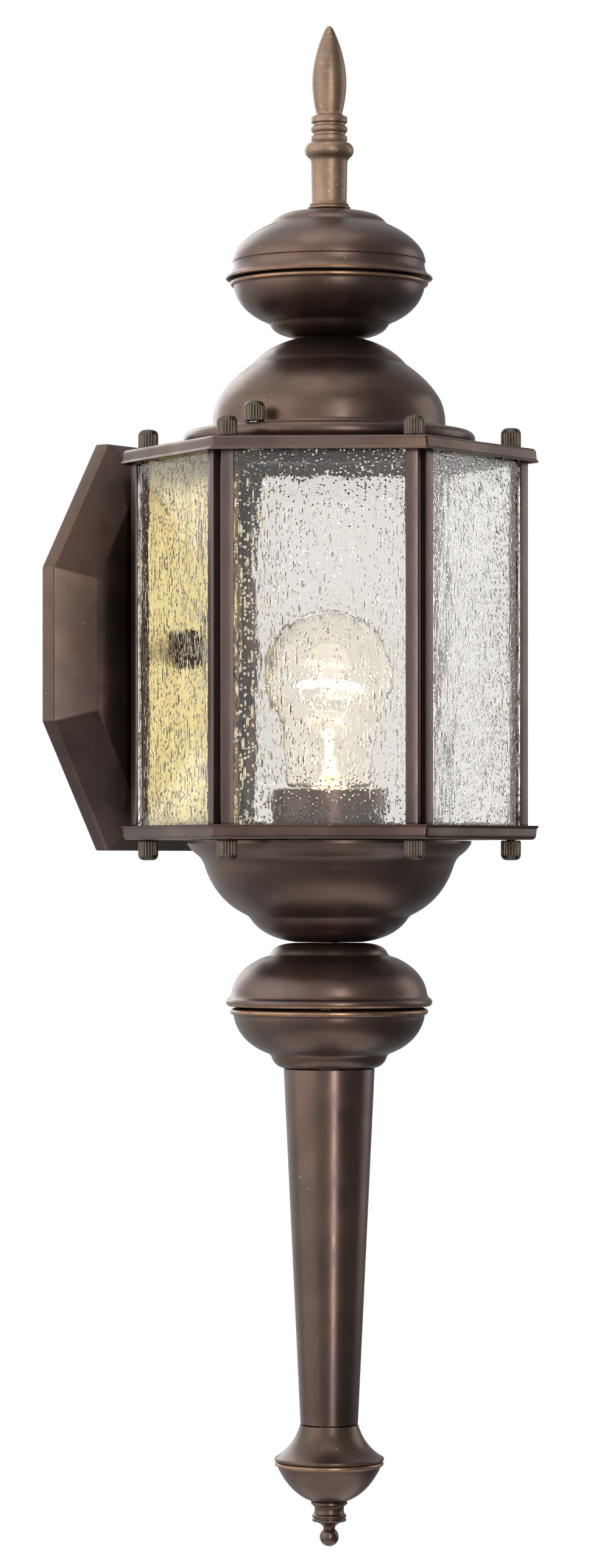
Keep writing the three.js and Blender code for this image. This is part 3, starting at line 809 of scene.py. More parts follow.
@cache
def flutes_tree():
    """Cuts upright flutes into the outside of a barrel."""
    tree, start, end = new_tree("Upright Flutes", (
        ("Flutes", "Int"), ("Depth", "Float"), ("Low", "Float"), ("High", "Float"),
        ("Inner Radius", "Float"), ("Material", "Material"),
    ))
    _, angle, flat, band = barrel(tree, start)
    wave = math_node(tree, "COSINE", product(tree, angle, start.outputs["Flutes"]))
    valley = math_node(tree, "POWER", math_node(tree, "MULTIPLY_ADD", wave, 0.5, 0.5),
                       FLUTE_SHARPNESS)
    radius = vector_node(tree, "LENGTH", flat).outputs["Value"]
    outside = math_node(tree, "GREATER_THAN", radius, start.outputs["Inner Radius"])
    share = product(tree, valley, product(tree, band, outside))
    return cut_in(tree, start, end, flat, share)


@cache
def thread_tree():
    """Winds a rounded thread round a barrel."""
    tree, start, end = new_tree("Screw Thread", (
        ("Pitch", "Float"), ("Depth", "Float"), ("Low", "Float"), ("High", "Float"),
        ("Material", "Material"),
    ))
    height, angle, flat, band = barrel(tree, start)
    climb = product(tree, 2 * math.pi,
                    math_node(tree, "DIVIDE", height, start.outputs["Pitch"]))
    wave = math_node(tree, "COSINE", math_node(tree, "SUBTRACT", climb, angle))
    valley = math_node(tree, "MULTIPLY_ADD", wave, 0.5, 0.5)
    return cut_in(tree, start, end, flat, product(tree, band, valley))


@cache
def seeds_tree():
    """Drawn-out bubbles scattered through the thickness of a sheet of glass."""
    tree, start, end = new_tree("Seeds In Glass", (
        ("Count", "Int"), ("Width", "Float"), ("Height", "Float"), ("Depth", "Float"),
        ("Largest", "Float"), ("Centre", "Vector"), ("Angle", "Float"), ("Seed", "Int"),
        ("Material", "Material"),
    ))

    def drawn(seed, low, high):
        """A random value for each bubble, between two sockets or plain values."""
        value = add_node(tree, "FunctionNodeRandomValue", data_type="FLOAT")
        lot = total(tree, start.outputs["Seed"], float(seed))
        feed(tree, (value.inputs[2], value.inputs[3], value.inputs["Seed"]),
             (low, high, lot))
        return value.outputs[1]

    def scattered(seed, side):
        extent = start.outputs[side]
        return drawn(seed, product(tree, extent, -0.5), product(tree, extent, 0.5))

    spot = joined(tree, X=scattered(1, "Width"), Y=scattered(2, "Depth"),
                  Z=scattered(3, "Height"))
    points = add_node(tree, "GeometryNodePoints")
    wire(tree, start.outputs["Count"], points.inputs["Count"])
    wire(tree, spot, points.inputs["Position"])
    size = math_node(tree, "POWER", drawn(4, 0.0, 1.0), SEED_SIZE_BIAS)
    girth = product(tree, start.outputs["Largest"], math_node(
        tree, "MULTIPLY_ADD", size, 1.0 - SEED_SMALLEST, SEED_SMALLEST))
    length_of = product(tree, girth, drawn(5, *SEED_STRETCH))
    ball = add_node(tree, "GeometryNodeMeshIcoSphere", {"Radius": 1.0, "Subdivisions": 2})
    copies = add_node(tree, "GeometryNodeInstanceOnPoints")
    wire(tree, points.outputs[0], copies.inputs["Points"])
    wire(tree, ball.outputs[0], copies.inputs["Instance"])
    wire(tree, joined(tree, X=girth, Y=girth, Z=length_of), copies.inputs["Scale"])
    moved = add_node(tree, "GeometryNodeTransform")
    wire(tree, copies.outputs[0], moved.inputs["Geometry"])
    wire(tree, start.outputs["Centre"], moved.inputs["Translation"])
    wire(tree, joined(tree, Z=start.outputs["Angle"]), moved.inputs["Rotation"])
    end_tree(tree, moved.outputs[0], start.outputs["Material"], end)
    return tree


def round_axis(piece, circle, height, body, slot, nodes, skip=-1, first=30):
    """Copies a piece to the corners or faces of the cage."""
    grown(piece, copies_tree(), {
        "Count": 6, "Circle": circle, "First Angle": math.radians(first), "Skip": skip,
        "Centre": (AXIS.x, AXIS.y, height), "Material": piece.data.materials[0],
    })
    return place(piece, body, slot, *nodes)


# ---- Wall plate and cage ------------------------------------------------------------
def build_wall_plate():
    """A long octagon with a flat middle, a sloping border and a short rim."""
    low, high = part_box("wall_plate")
    half_width, half_height = high.x, high.z
    side, top = 35.6 * MM, 38.6 * MM  # half the length of the upright and level sides
    lean = math.atan2(half_width - top, half_height - side)

    def octagon(inset, y):
        x, z = half_width - inset, half_height - inset
        s = side - inset * math.tan(lean / 2)
        t = top - inset * math.tan(math.pi / 4 - lean / 2)
        corners = ((x, -s), (x, s), (t, z), (-t, z), (-x, s), (-x, -s), (-t, -z), (t, -z))
        return [Vector((across, y, up)) for across, up in corners]

    size = sizes()
    wall = size.sheet
    rings = [
        octagon(size.plate_bevel + wall / 2, low.y + wall),
        octagon(wall, -size.plate_rim + wall / 2),
        octagon(wall, 0),
        octagon(0, 0),
        octagon(0, -size.plate_rim),
        octagon(size.plate_bevel, low.y),
    ]
    piece = lofted("wall_plate_finish", rings, finish("bronze_pressed"), closed=False)
    outward(piece)
    bevelled(piece, size.plate_fold * 0.5, 4, 12)
    smooth(piece, 40)
    place(piece, "lantern", "bronze", "wall_plate")


def build_caps():
    """Shallow hexagonal pans with a round hole; the lower one hangs upside down."""
    size = sizes()
    fillet = size.cap_fillet
    round_off, edge_inset = 2.2 * MM, 1.2 * MM
    lip_rings = ((0.25, 0), (0, 0.25), (0.25, 0.8), (0.9, 1.5))  # inset and height, in mm
    for node, up, mouth in (("upper_cap", 1, 54 * MM), ("lower_cap", -1, 19.5 * MM)):
        low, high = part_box(node)
        lip, top = (low.z, high.z) if up > 0 else (high.z, low.z)
        depth = abs(top - lip)

        def hexagon(inset, rise):
            return rounded_hexagon(CAP_RADIUS - inset, fillet, lip + up * rise)

        rings = [hexagon(inset * MM, rise * MM) for inset, rise in lip_rings]
        for i in range(7):
            turn = math.radians(90 * i / 6)
            inset = edge_inset + round_off * (1 - math.cos(turn))
            rings.append(hexagon(inset, depth - round_off * (1 - math.sin(turn))))
        flat = rounded_hexagon(CAP_RADIUS - 8 * MM, fillet, top)
        inside = depth - size.sheet
        rings += [
            flat,
            onto_circle(flat, mouth, top),
            onto_circle(flat, mouth, lip + up * inside),
            hexagon(4 * MM, inside),
            hexagon(1.9 * MM, 0.2 * MM),
        ]
        piece = lofted(node + "_finish", rings, finish("bronze_pressed"), angle=32)
        outward(piece)
        smooth(piece, 32)
        place(piece, "lantern", "bronze", node)


def build_posts():
    """A corner post: two flat strips with a groove folded in between them."""
    size = sizes()
    low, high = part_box("post_front_right")
    across, along = math.sin(math.radians(60)), 0.5
    sheet = 1.2 * MM

    def folded(distance, depth):
        return (distance * across - depth * along, distance * along + depth * across)

    strip_end = size.groove + size.post_strip
    floor = size.groove * 0.48
    half = [
        folded(strip_end, 0),
        folded(size.groove, 0),
        (floor, size.groove_depth),
    ]
    inner = [
        (floor + sheet, size.groove_depth + sheet),
        folded(size.groove + 1.2 * sheet, sheet),
        folded(strip_end, sheet),
    ]
    section = half + [(-x, y) for x, y in reversed(half)]
    section += [(-x, y) for x, y in reversed(inner)] + inner
    rings = [[Vector((x, y, z)) for x, y in section] for z in (0, high.z - low.z)]
    piece = lofted("corner_posts", rings, finish("bronze_folded"), closed=False)
    outward(piece)
    bevelled(piece, 0.38 * MM, 3, 25)
    smooth(piece, 40)
    nodes = ["post_" + corner for corner in CORNERS]
    round_axis(piece, post_circle(), low.z, "lantern", "bronze", nodes)


def post_circle():
    """Radius of the virtual corner where the two face planes of a post meet."""
    tip = (sizes().groove + 0.1 * MM) * 0.5
    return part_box("post_right")[1].x - AXIS.x + tip


def build_panes():
    """Seeded panes: both faces wander slightly, so that what lies behind them swims."""
    size = sizes()
    low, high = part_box("glass_front")
    width, thick, tall = high - low
    columns, rows = 48, 96
    still_cells = 3  # the wander dies away over this many cells from the edge
    vertices = []
    for side in (-1, 1):
        for r in range(rows + 1):
            for c in range(columns + 1):
                x = (c / columns - 0.5) * width
                z = (r / rows - 0.5) * tall
                edge = min(c, columns - c, r, rows - r) / still_cells
                here = Vector((x * 90, side * 7, z * 34))
                fine = Vector((x * 260, side * 3, z * 90))
                wander = noise.noise(here) + 0.35 * noise.noise(fine)
                swell = size.glass_wave * min(1.0, edge) * (wander - 1)
                vertices.append((x, side * (thick / 2 + swell), z))
    piece = new_object("glass_panes", vertices, sheet_faces(columns, rows),
                       finish("seeded_glass"), 50)
    nodes = ["glass_" + pane for pane in PANES]
    round_axis(piece, PANE_CIRCLE, PANE_CENTRE.z, "lantern", "seeded_glass", nodes,
               skip=REAR_FACE, first=0)


def build_seeds():
    """Scatters bubbles inside each pane, clear of its faces and edges."""
    size = sizes()
    low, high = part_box("glass_front")
    for number, (pane, azimuth) in enumerate(zip(PANES, (0, 60, 120, 240, 300))):
        turn = math.radians(azimuth)
        centre = (AXIS.x + PANE_CIRCLE * math.sin(turn),
                  AXIS.y - PANE_CIRCLE * math.cos(turn), PANE_CENTRE.z)
        piece = new_object("seeds_" + pane, [(0, 0, 0)], [], finish("glass_bubble"))
        grown(piece, seeds_tree(), {
            "Count": size.seeds, "Width": high.x - low.x - 8 * MM,
            "Height": high.z - low.z - 10 * MM, "Depth": high.y - low.y - 1.8 * MM,
            "Largest": size.seed_size, "Centre": centre, "Angle": turn,
            "Seed": 11 + 7 * number, "Material": finish("glass_bubble"),
        })
        piece.data.shade_smooth()
        place(piece, "lantern", "seeded_glass")


def build_rear_panel():
    """The solid rear face: bronze outside, and bright, slightly rippled gold inside."""
    low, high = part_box("back_panel")
    middle = (low + high) / 2
    half_x, half_z = (high.x - low.x) / 2, (high.z - low.z) / 2
    columns, rows = 24, 48
    vertices = []
    for y, inward in ((low.y + 0.15 * MM, 1), (high.y, 0)):
        for r in range(rows + 1):
            for c in range(columns + 1):
                x = (2 * c / columns - 1) * half_x
                z = (2 * r / rows - 1) * half_z
                ripple = 0.12 * MM * noise.noise(Vector((x * 40, inward, z * 22)))
                vertices.append((middle.x + x, y + inward * ripple, middle.z + z))
    piece = new_object("rear_panel_finish", vertices, sheet_faces(columns, rows),
                       finish("gold_inside"), 40)
    piece.data.materials.append(finish("bronze_pressed"))
    for polygon in piece.data.polygons:
        if polygon.normal.y > -0.5:
            polygon.material_index = 1
    place(piece, "lantern", "brass", "back_panel")


# ---- Thumb nuts ---------------------------------------------------------------------
def thumb_nut(name):
    """A fluted barrel with a smooth domed end, standing on the origin."""
    size = sizes()
    radius, height = NUT_SIZE.x / 2 / MM, NUT_SIZE.z / MM
    end_rise = 2.3
    shoulder = height - end_rise
    outline = Outline(0, 0).line((radius - 0.6, 0), (radius - 0.15, 0.25), (radius, 0.6))
    outline.line((radius, 1.2), (radius, shoulder * 0.5), (radius, shoulder - 0.5))
    outline.line((radius - 0.05, shoulder), (radius - 0.12, shoulder + 0.25))
    outline.curve((radius - 0.5, height - 0.25), (radius * 0.45, height - 0.05), 6)
    outline.line((0, height))
    piece = turned(name, outline, 0, finish("nut_bronze"), centre=(0, 0),
                   sides=size.nut_flutes * 8, angle=60)
    values = [0.0] * len(piece.data.vertices)
    for vertex in piece.data.vertices:
        turn = math.atan2(vertex.co.y, vertex.co.x) * size.nut_flutes
        crest = 0.5 - 0.5 * math.cos(turn)
        barrel = 0.5 < vertex.co.z / MM < shoulder + 0.1
        values[vertex.index] = 0.75 * crest ** 2 if barrel else 0.15
    piece.data.attributes["rub"].data.foreach_set("value", values)
    return grown(piece, flutes_tree(), {
        "Flutes": size.nut_flutes, "Depth": size.nut_flute, "Low": 0.4 * MM,
        "High": (shoulder + 0.1) * MM, "Inner Radius": 0.8 * radius * MM,
        "Material": finish("nut_bronze"),
    })


def build_cage_nuts():
    """Six nuts stand on the upper cap, and six hang under the lower one."""
    for row, against in (("top", 0), ("bottom", 1)):
        piece = thumb_nut(row + "_nuts")
        if row == "bottom":
            piece.data.transform(Matrix.Rotation(math.pi, 4, "X"))
        nodes = [f"{row}_nut_{corner}" for corner in CORNERS]
        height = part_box(row + "_nut_right")[against].z
        round_axis(piece, ROD_CIRCLE, height, "lantern", "nut_bronze", nodes)


def build_roof_nuts():
    """Each roof nut turns on its own body."""
    for side in ("left", "right"):
        node = "roof_nut_" + side
        piece = thumb_nut(node + "_finish")
        spot = box_centre(node)
        spot.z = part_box(node)[0].z
        piece.data.transform(Matrix.Translation(spot))
        place(piece, node, "nut_bronze", node)


# ---- Roof ---------------------------------------------------------------------------
def build_roof_dome():
    """Dome with a crease near its crown, on a flange with a rolled edge."""
    outline = Outline(62.6, 0.0).arc((63.9, 3.9), 3.88, -88, 96, 14)
    outline.line((61.5, 7.55)).curve((58.5, 7.4), (56.2, 7.9))
    outline.curve((54.2, 8.3), (53.9, 10.6)).curve((54.0, 20.0), (49.6, 25.6), 12)
    outline.curve((45.2, 32.2), (36.6, 38.3), 12)
    outline.curve((35.6, 38.9), (34.9, 39.9), 4).curve((28.0, 47.6), (16.0, 50.7), 12)
    outline.line((5.3, 51.1)).walled(sizes().sheet / MM)
    spun("roof_dome", outline, "roof")


def build_upper_knop():
    """The roof's knop: an upper half with a drooping rim over a rubbed bead."""
    size = sizes()
    top = Outline(47.2, 0.0).arc((47.5, 0.45), 0.45, -90, 60, 5)
    top.curve((44.5, 2.2), (44.2, 7.4), 10).curve((44.3, 8.0), (44.7, 8.3), 3)
    top.curve((44.2, 13.0), (40.6, 16.6))
    top.curve((36.4, 21.4), (27.9, 25.2), 10).curve((26.4, 25.9), (25.8, 27.1), 4)
    top.curve((23.4, 29.9), (17.6, 31.0), 8).line((9.6, 32.1), (5.3, 32.1))
    top.walled(size.sheet / MM)
    spun("upper_knop_top", top, "roof", rubs=((1.3, 0.9),))

    low = Outline(5.3, 0.0).line((16.0, 0.1)).curve((25.0, 1.2), (27.3, 5.6), 8)
    low.curve((27.6, 6.6), (29.3, 7.3), 4).curve((41.6, 12.4), (44.1, 22.6), 14)
    low.curve((44.2, 23.4), (44.5, 23.9), 3).arc((44.55, 25.2), 1.4, -75, 80, 8)
    low.line((44.2, 26.8)).walled(size.sheet / MM)
    spun("upper_knop_bottom", low, "roof", rubs=((25.0, 1.3),))


def build_finial():
    """Spear finial: flared foot, plain stem, collar, stacked rings and a spear."""
    outline = Outline(0, 19).line((5.2, 19), (5.2, 0), (9.9, 0.0))
    outline.arc((9.2, 0.75), 0.7, -60, 80, 5).line((8.7, 1.6))
    outline.arc((8.5, 2.2), 0.55, -60, 70, 5)
    outline.line((8.25, 3.1), (8.1, 4.0), (8.4, 21.6)).curve((8.5, 23.2), (9.7, 24.2), 5)
    outline.arc((7.5, 27.4), 3.85, -52, 56, 12).curve((8.3, 31.2), (8.0, 31.6), 4)
    outline.line((8.0, 31.9), (8.35, 32.1), (8.35, 33.9), (8.0, 34.1), (7.35, 34.5))
    outline.arc((6.6, 37.2), 1.9, -62, 62, 8).line((7.35, 39.8), (8.0, 40.2), (8.35, 40.4))
    outline.line((8.35, 42.7), (8.0, 43.1), (6.6, 43.6)).curve((6.0, 44.2), (6.1, 45.0), 4)
    outline.curve((7.9, 52.0), (8.0, 59.6), 12).curve((7.6, 71.6), (2.1, 83.4), 14)
    outline.curve((1.2, 85.0), (0, 85.3), 5)
    spun("finial", outline, "roof", "cast_bronze", "cast_bronze", angle=45, sides=72)


# ---- Bowl, lower knop and tail --------------------------------------------------------
def build_bowl():
    """Bowl under the cage: a stepped lip, a full belly and a dished foot."""
    outline = Outline(5.3, 0.0).line((15.8, 0.1)).curve((30.6, 1.9), (36.6, 11.0), 10)
    outline.curve((37.2, 12.0), (38.6, 12.7), 4).curve((52.4, 19.4), (57.5, 34.6), 16)
    outline.curve((58.0, 36.6), (59.5, 38.9), 5).curve((60.2, 39.7), (61.0, 40.3), 3)
    outline.curve((63.8, 42.4), (64.9, 44.2), 6).line((65.9, 45.6), (65.9, 46.9))
    outline.walled(sizes().sheet / MM)
    spun("bowl", outline, "lantern")


def build_lower_knop():
    """The tail's knop: a rolled rim between its halves, over a rubbed bead."""
    size = sizes()
    top = Outline(44.2, 0.2).arc((45.7, 2.25), 2.1, -85, 70, 10)
    top.curve((45.9, 4.7), (45.4, 6.2), 5)
    top.curve((44.2, 15.0), (35.2, 20.6), 12).curve((31.6, 22.8), (28.6, 23.5), 6)
    top.curve((27.3, 23.9), (26.9, 25.2), 4).curve((25.0, 29.2), (17.0, 29.6), 8)
    top.line((5.3, 29.6)).walled(size.sheet / MM)
    spun("lower_knop_top", top, "lantern", rubs=((0.9, 0.9),))

    low = Outline(5.3, 0.0).line((21.8, 0.1)).curve((25.6, 1.2), (26.8, 5.2), 6)
    low.curve((27.1, 6.2), (28.6, 6.8), 4).curve((41.2, 11.6), (44.1, 22.8), 14)
    low.curve((44.2, 23.8), (44.4, 24.5), 3).arc((44.5, 26.1), 1.4, -75, 80, 8)
    low.line((44.0, 27.8)).walled(size.sheet / MM)
    spun("lower_knop_bottom", low, "lantern", rubs=((26.0, 1.4),))


def build_tail():
    """A tube that widens upwards, in a waisted cup with a rubbed bead."""
    size = sizes()
    tall = height_of("tail_tube")
    taper = Outline(13.1, 0.0).line((13.35, 0.25), (21.1, tall - 0.3), (20.9, tall))
    taper.walled(size.sheet / MM)
    spun("tail_tube", taper, "lantern", material="bronze_tube")

    cup = Outline(5.3, 0.0).line((8.4, 0.0)).curve((17.9, 3.4), (23.6, 15.0), 14)
    cup.curve((23.8, 15.7), (24.1, 16.0), 3).arc((24.2, 17.2), 1.05, -70, 75, 6)
    cup.arc((24.5, 19.4), 0.98, -70, 80, 7).curve((16.2, 25.6), (13.5, 35.2), 14)
    cup.walled(size.sheet / MM)
    spun("tail_cup", cup, "lantern", rubs=((17.2, 1.1),))


def build_drop_finial():
    """A ball on a thin neck under two beads, with a shank that goes up into the cup."""
    outline = Outline(0, 0.02).arc((0, 4.45), 4.42, -84, 52, 14)
    outline.line((2.75, 8.4), (2.75, 9.0)).curve((3.4, 10.4), (6.5, 11.6), 6)
    outline.arc((7.2, 12.4), 0.75, -60, 75, 5)
    outline.arc((7.1, 14.2), 0.85, -75, 75, 6).curve((6.5, 16.4), (6.9, 18.2), 5)
    outline.curve((7.2, 19.2), (8.4, 19.7), 4).line((8.4, 20.8), (4.7, 20.8), (4.7, 29.9))
    outline.line((0, 29.9))
    spun("drop_finial", outline, "lantern", material="bronze_cast", angle=45, sides=72)


# ---- Lamp -----------------------------------------------------------------------------
def build_socket_cup():
    """A plain cup with a rubbed lip."""
    tall = height_of("socket_cup")
    outline = Outline(18.9, 0.0).line((24.0, 0.0)).curve((26.1, 0.1), (26.1, 2.2), 6)
    outline.line((26.1, tall - 1.0)).curve((26.1, tall - 0.2), (25.6, tall), 4)
    outline.walled(sizes().sheet / MM)
    spun("socket_cup", outline, "lantern", rubs=((tall, 0.8),))


def build_bulb():
    """Lamp: a thin pear-shaped globe, its threaded base, glass stem and filament."""
    build_globe()
    build_screw_base()
    stem_tall = height_of("bulb_stem")
    stem = Outline(0, 0).line((8.8, 0)).curve((4.6, 3.0), (3.2, 10.0), 8)
    stem.line((2.4, 18.0)).curve((2.4, 20.4), (3.6, stem_tall - 2.6), 5)
    stem.curve((3.6, stem_tall - 0.4), (0, stem_tall), 6)
    spun("bulb_stem", stem, "bulb", "seeded_glass", "bulb_stem_glass", sides=40)
    build_filament()


def build_globe():
    """The bulb's glass, with an inner wall that closes at the crown."""
    low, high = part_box("bulb_glass")
    tall = height_of("bulb_glass")
    radius = (high.x - low.x) / 2 / MM
    centre = tall - radius
    slack, wall = 0.02, 0.75
    start = -25  # degrees below the globe's middle, where the neck runs in
    shoulder = (radius * math.cos(math.radians(start)),
                centre + radius * math.sin(math.radians(start)))
    globe = Outline(13.2, 0.1).line((17.8, 0.9)).curve((19.3, 1.4), (19.4, 3.0), 5)
    globe.curve((21.3, 27.0), shoulder, 16)
    globe.arc((0, centre), radius - slack, start, 88, 28)
    globe.points[-1] = (0.0, tall - slack)
    outer = list(globe.points)
    inner = globe.walled(wall).points[len(outer):]
    inner[0] = (0.0, tall - slack - wall)
    globe.points = outer + inner
    piece = turned("bulb_globe", globe, low.z, finish("bulb_glass"), angle=60)
    place(piece, "bulb", "bulb_glass", "bulb_glass")


def build_screw_base():
    """The bulb's brass shell, made at the origin so that its thread can be wound."""
    radius, rise, threaded_rows = 13.0, 7.6, 41
    tall = height_of("bulb_base")
    shell = Outline(0, 0).line((4.2, 0.1)).curve((4.8, 0.8), (5.6, 2.9), 4)
    shell.line((11.8, 5.6)).curve((12.9, 6.4), (radius, rise), 4)
    for i in range(1, threaded_rows):
        shell.line((radius, rise + (tall - 9) * i / threaded_rows))
    shell.line((radius, tall), (0, tall))
    piece = turned("bulb_base_finish", shell, 0, finish("base_metal"), centre=(0, 0),
                   angle=60, sides=64)
    grown(piece, thread_tree(), {
        "Pitch": 3.63 * MM, "Depth": 0.75 * MM, "Low": 8 * MM, "High": (tall - 3) * MM,
        "Material": finish("base_metal"),
    })
    foot = Vector((AXIS.x, AXIS.y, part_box("bulb_base")[0].z))
    piece.data.transform(Matrix.Translation(foot))
    place(piece, "bulb", "base_metal", "bulb_base")


def build_filament():
    """A coiled wire held up by two leads, swept round along its path."""
    level = -20 * MM
    reach, sag = 14.5 * MM, 2.2 * MM
    coil_radius, wire_radius, lead_radius = 1.6 * MM, 0.42 * MM, 0.3 * MM
    turns, points_a_turn = 24, 10
    along, across = Vector((0.8, -0.6, 0)), Vector((0.6, 0.8, 0))
    middle = Vector((AXIS.x, AXIS.y, level))
    coil = []
    for i in range(turns * points_a_turn + 1):
        t = i / (turns * points_a_turn)
        turn = 2 * math.pi * turns * t
        arch = UP * sag * math.cos(math.pi * (t - 0.5))
        circle = across * math.cos(turn) + UP * math.sin(turn)
        coil.append(middle + along * (2 * t - 1) * reach + arch + circle * coil_radius)
    foot_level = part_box("bulb_stem")[1].z - 3 * MM
    for letter, sign, end in (("a", -1, coil[0]), ("b", 1, coil[-1])):
        foot = Vector((AXIS.x, AXIS.y, foot_level)) + along * sign * 2 * MM
        lead = [foot, foot.lerp(end, 0.3) + UP * 2 * MM, end]
        piece = tube("filament_lead_" + letter, lead, lead_radius, finish("steel"))
        place(piece, "bulb", "steel")
    piece = tube("filament_coil", coil, wire_radius, finish("filament"))
    place(piece, "bulb", "bulb_glass")


def tube(name, path, radius, material, sides=6):
    """A closed tube swept along a row of points."""
    rings = []
    for i, point in enumerate(path):
        along = (path[min(i + 1, len(path) - 1)] - path[max(i - 1, 0)]).normalized()
        side = along.cross(UP)
        side = side.normalized() if side.length > 1e-6 else Vector((1, 0, 0))
        up = side.cross(along).normalized()
        rings.append([
            point + side * radius * math.cos(2 * math.pi * k / sides)
            + up * radius * math.sin(2 * math.pi * k / sides)
            for k in range(sides)
        ])
    return outward(lofted(name, rings, material, closed=False, angle=60))


# ---- Carried-over nodes and the studio -------------------------------------------------
def paint_nodes():
    """Gives the small CAD pieces that stay in view their finishes."""
    kept = {
        "steel": ["mounting_strap", "set_screw_top", "set_screw_bottom", "wire_nipple",
                  "roof_rod", "roof_rod_nut", "roof_stud_left", "roof_stud_right",
                  "tail_rod"],
        "nut_bronze": ["nipple_nut"],
        "bronze_pressed": ["rod_" + corner for corner in CORNERS],
        "porcelain": ["socket"],
    }
    for name, nodes in kept.items():
        for node in nodes:
            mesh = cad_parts[node].data
            mesh.materials.clear()
            mesh.materials.append(finish(name))


BRIGHT_SIDE = (-0.55, 0.84, 0.0)
FLOOR_RADIUS = 0.55
FLOOR_SIDES = 96
FLOOR_FADE = (0.22, 0.5)  # distances from the axis between which the floor pales
LAMP_SIZE = 0.012
LAMP_RISE = 0.004
# Height of the direction, from 0 straight down to 1 straight up, and half its brightness.
BANDS = (
    (0.0, 0.25), (0.3, 0.13), (0.36, 0.385), (0.4, 0.395), (0.6, 0.395), (0.66, 0.12),
    (0.74, 0.12), (0.8, 1.0), (0.9, 1.0), (1.0, 0.3),
)


def facing(piece, away):
    """Turns a light or a camera to look against the direction away."""
    piece.rotation_mode = "QUATERNION"
    piece.rotation_quaternion = away.to_track_quat("Z", "Y")


def softbox(name, azimuth, elevation, distance, width, height, energy):
    """A rectangular light aimed at the lantern; azimuth 0 is in front of it."""
    data = bpy.data.lights.new(name, "AREA")
    data.shape = "RECTANGLE"
    data.size, data.size_y = width, height
    data.energy = energy
    light = linked(name, data)
    a, e = math.radians(azimuth), math.radians(elevation)
    away = Vector((math.sin(a) * math.cos(e), -math.cos(a) * math.cos(e), math.sin(e)))
    centre = Vector((AXIS.x, AXIS.y, (LOW.z + HIGH.z) / 2))
    light.location = centre + away * distance
    facing(light, away)


class StudioSettings(bpy.types.PropertyGroup):
    azimuth: bpy.props.FloatProperty(
        name="Azimuth", description="Camera direction, from the lantern's front towards +X",
        default=math.radians(-56.92), subtype="ANGLE", unit="ROTATION",
    )
    distance: length("Distance", "Camera to the lantern's axis", 2.35)
    eye: length("Eye height", "Camera height above the wall plate's centre", -0.1019)
    lens: bpy.props.FloatProperty(
        name="Lens", description="Focal length on a 36 mm long side", default=116.3,
        subtype="DISTANCE_CAMERA",
    )
    shift_x: bpy.props.FloatProperty(
        name="Shift X", description="Sideways frame shift", default=-0.0167
    )
    shift_y: bpy.props.FloatProperty(
        name="Shift Y", description="Upward frame shift", default=0.0516
    )
    floor_gap: length("Floor gap", "Floor below the lantern's lowest point", 0.5)
    key: bpy.props.FloatProperty(
        name="Key", description="Power of the upright strip light, in watts", default=30.0
    )
    fill: bpy.props.FloatProperty(
        name="Fill", description="Power of the wide side light, in watts", default=26.0
    )
    lamp: bpy.props.FloatProperty(
        name="Lamp", description="Power of the light in the bulb, in watts", default=0.14
    )


def build_camera():
    studio = bpy.context.scene.lantern_studio
    data = bpy.data.cameras.new("studio_camera")
    data.sensor_width = 36
    data.lens = studio.lens
    data.shift_x, data.shift_y = studio.shift_x, studio.shift_y
    data.clip_start, data.clip_end = 0.05, 30
    camera = linked("studio_camera", data)
    back = Vector((math.sin(studio.azimuth), -math.cos(studio.azimuth), 0))
    camera.location = Vector((AXIS.x, AXIS.y, studio.eye)) + back * studio.distance
    facing(camera, back)
    bpy.context.scene.camera = camera


def chosen_shader(tree, ray, otherwise, shader):
    """One shader for rays of a kind, another for the rest."""
    made = add_node(tree, "ShaderNodeMixShader")
    feed(tree, made.inputs, (ray, otherwise, shader))
    return made.outputs[0]


def build_world():
    """White to the eye, bands of light and dark through glass, and in what the metal
    mirrors a soft grey that grows brighter upwards and to one side."""
    world = bpy.data.worlds.new("studio_world")
    bpy.context.scene.world = world
    world.use_nodes = True
    tree = world.node_tree
    tree.nodes.clear()
    way = add_node(tree, "ShaderNodeTexCoord").outputs["Generated"]
    split = add_node(tree, "ShaderNodeSeparateXYZ")
    wire(tree, way, split.inputs[0])
    height = split.outputs["Z"]
    side = vector_node(tree, "DOT_PRODUCT", way, BRIGHT_SIDE).outputs["Value"]
    lift = mapped(tree, height, -0.7, 0.8, 0.28, 0.84)
    mirrored = product(tree, lift, mapped(tree, side, -0.5, 0.9, 0.42, 2.2))

    def white(strength):
        made = add_node(tree, "ShaderNodeBackground", {"Color": (1, 1, 1, 1)})
        feed(tree, (made.inputs["Strength"],), (strength,))
        return made.outputs[0]

    rays = add_node(tree, "ShaderNodeLightPath").outputs
    unseen = chosen_shader(tree, rays["Is Transmission Ray"], white(mirrored),
                           white(elevations(tree, height)))
    output = add_node(tree, "ShaderNodeOutputWorld")
    wire(tree, chosen_shader(tree, rays["Is Camera Ray"], unseen, white(1.0)),
         output.inputs["Surface"])


def elevations(tree, height):
    """What shows through glass: a pale wall level with the eye, a dark band above and
    below it, then the bright ceiling light and the floor."""
    ramp = add_node(tree, "ShaderNodeValToRGB")
    ramp.color_ramp.interpolation = "EASE"
    stops = ramp.color_ramp.elements
    for level, tone in BANDS:
        stops.new(level).color = (tone, tone, tone, 1)
    stops.remove(stops[0])
    stops.remove(stops[-1])
    wire(tree, mapped(tree, height, -1.0, 1.0), ramp.inputs["Fac"])
    return product(tree, ramp.outputs["Color"], 2.0)


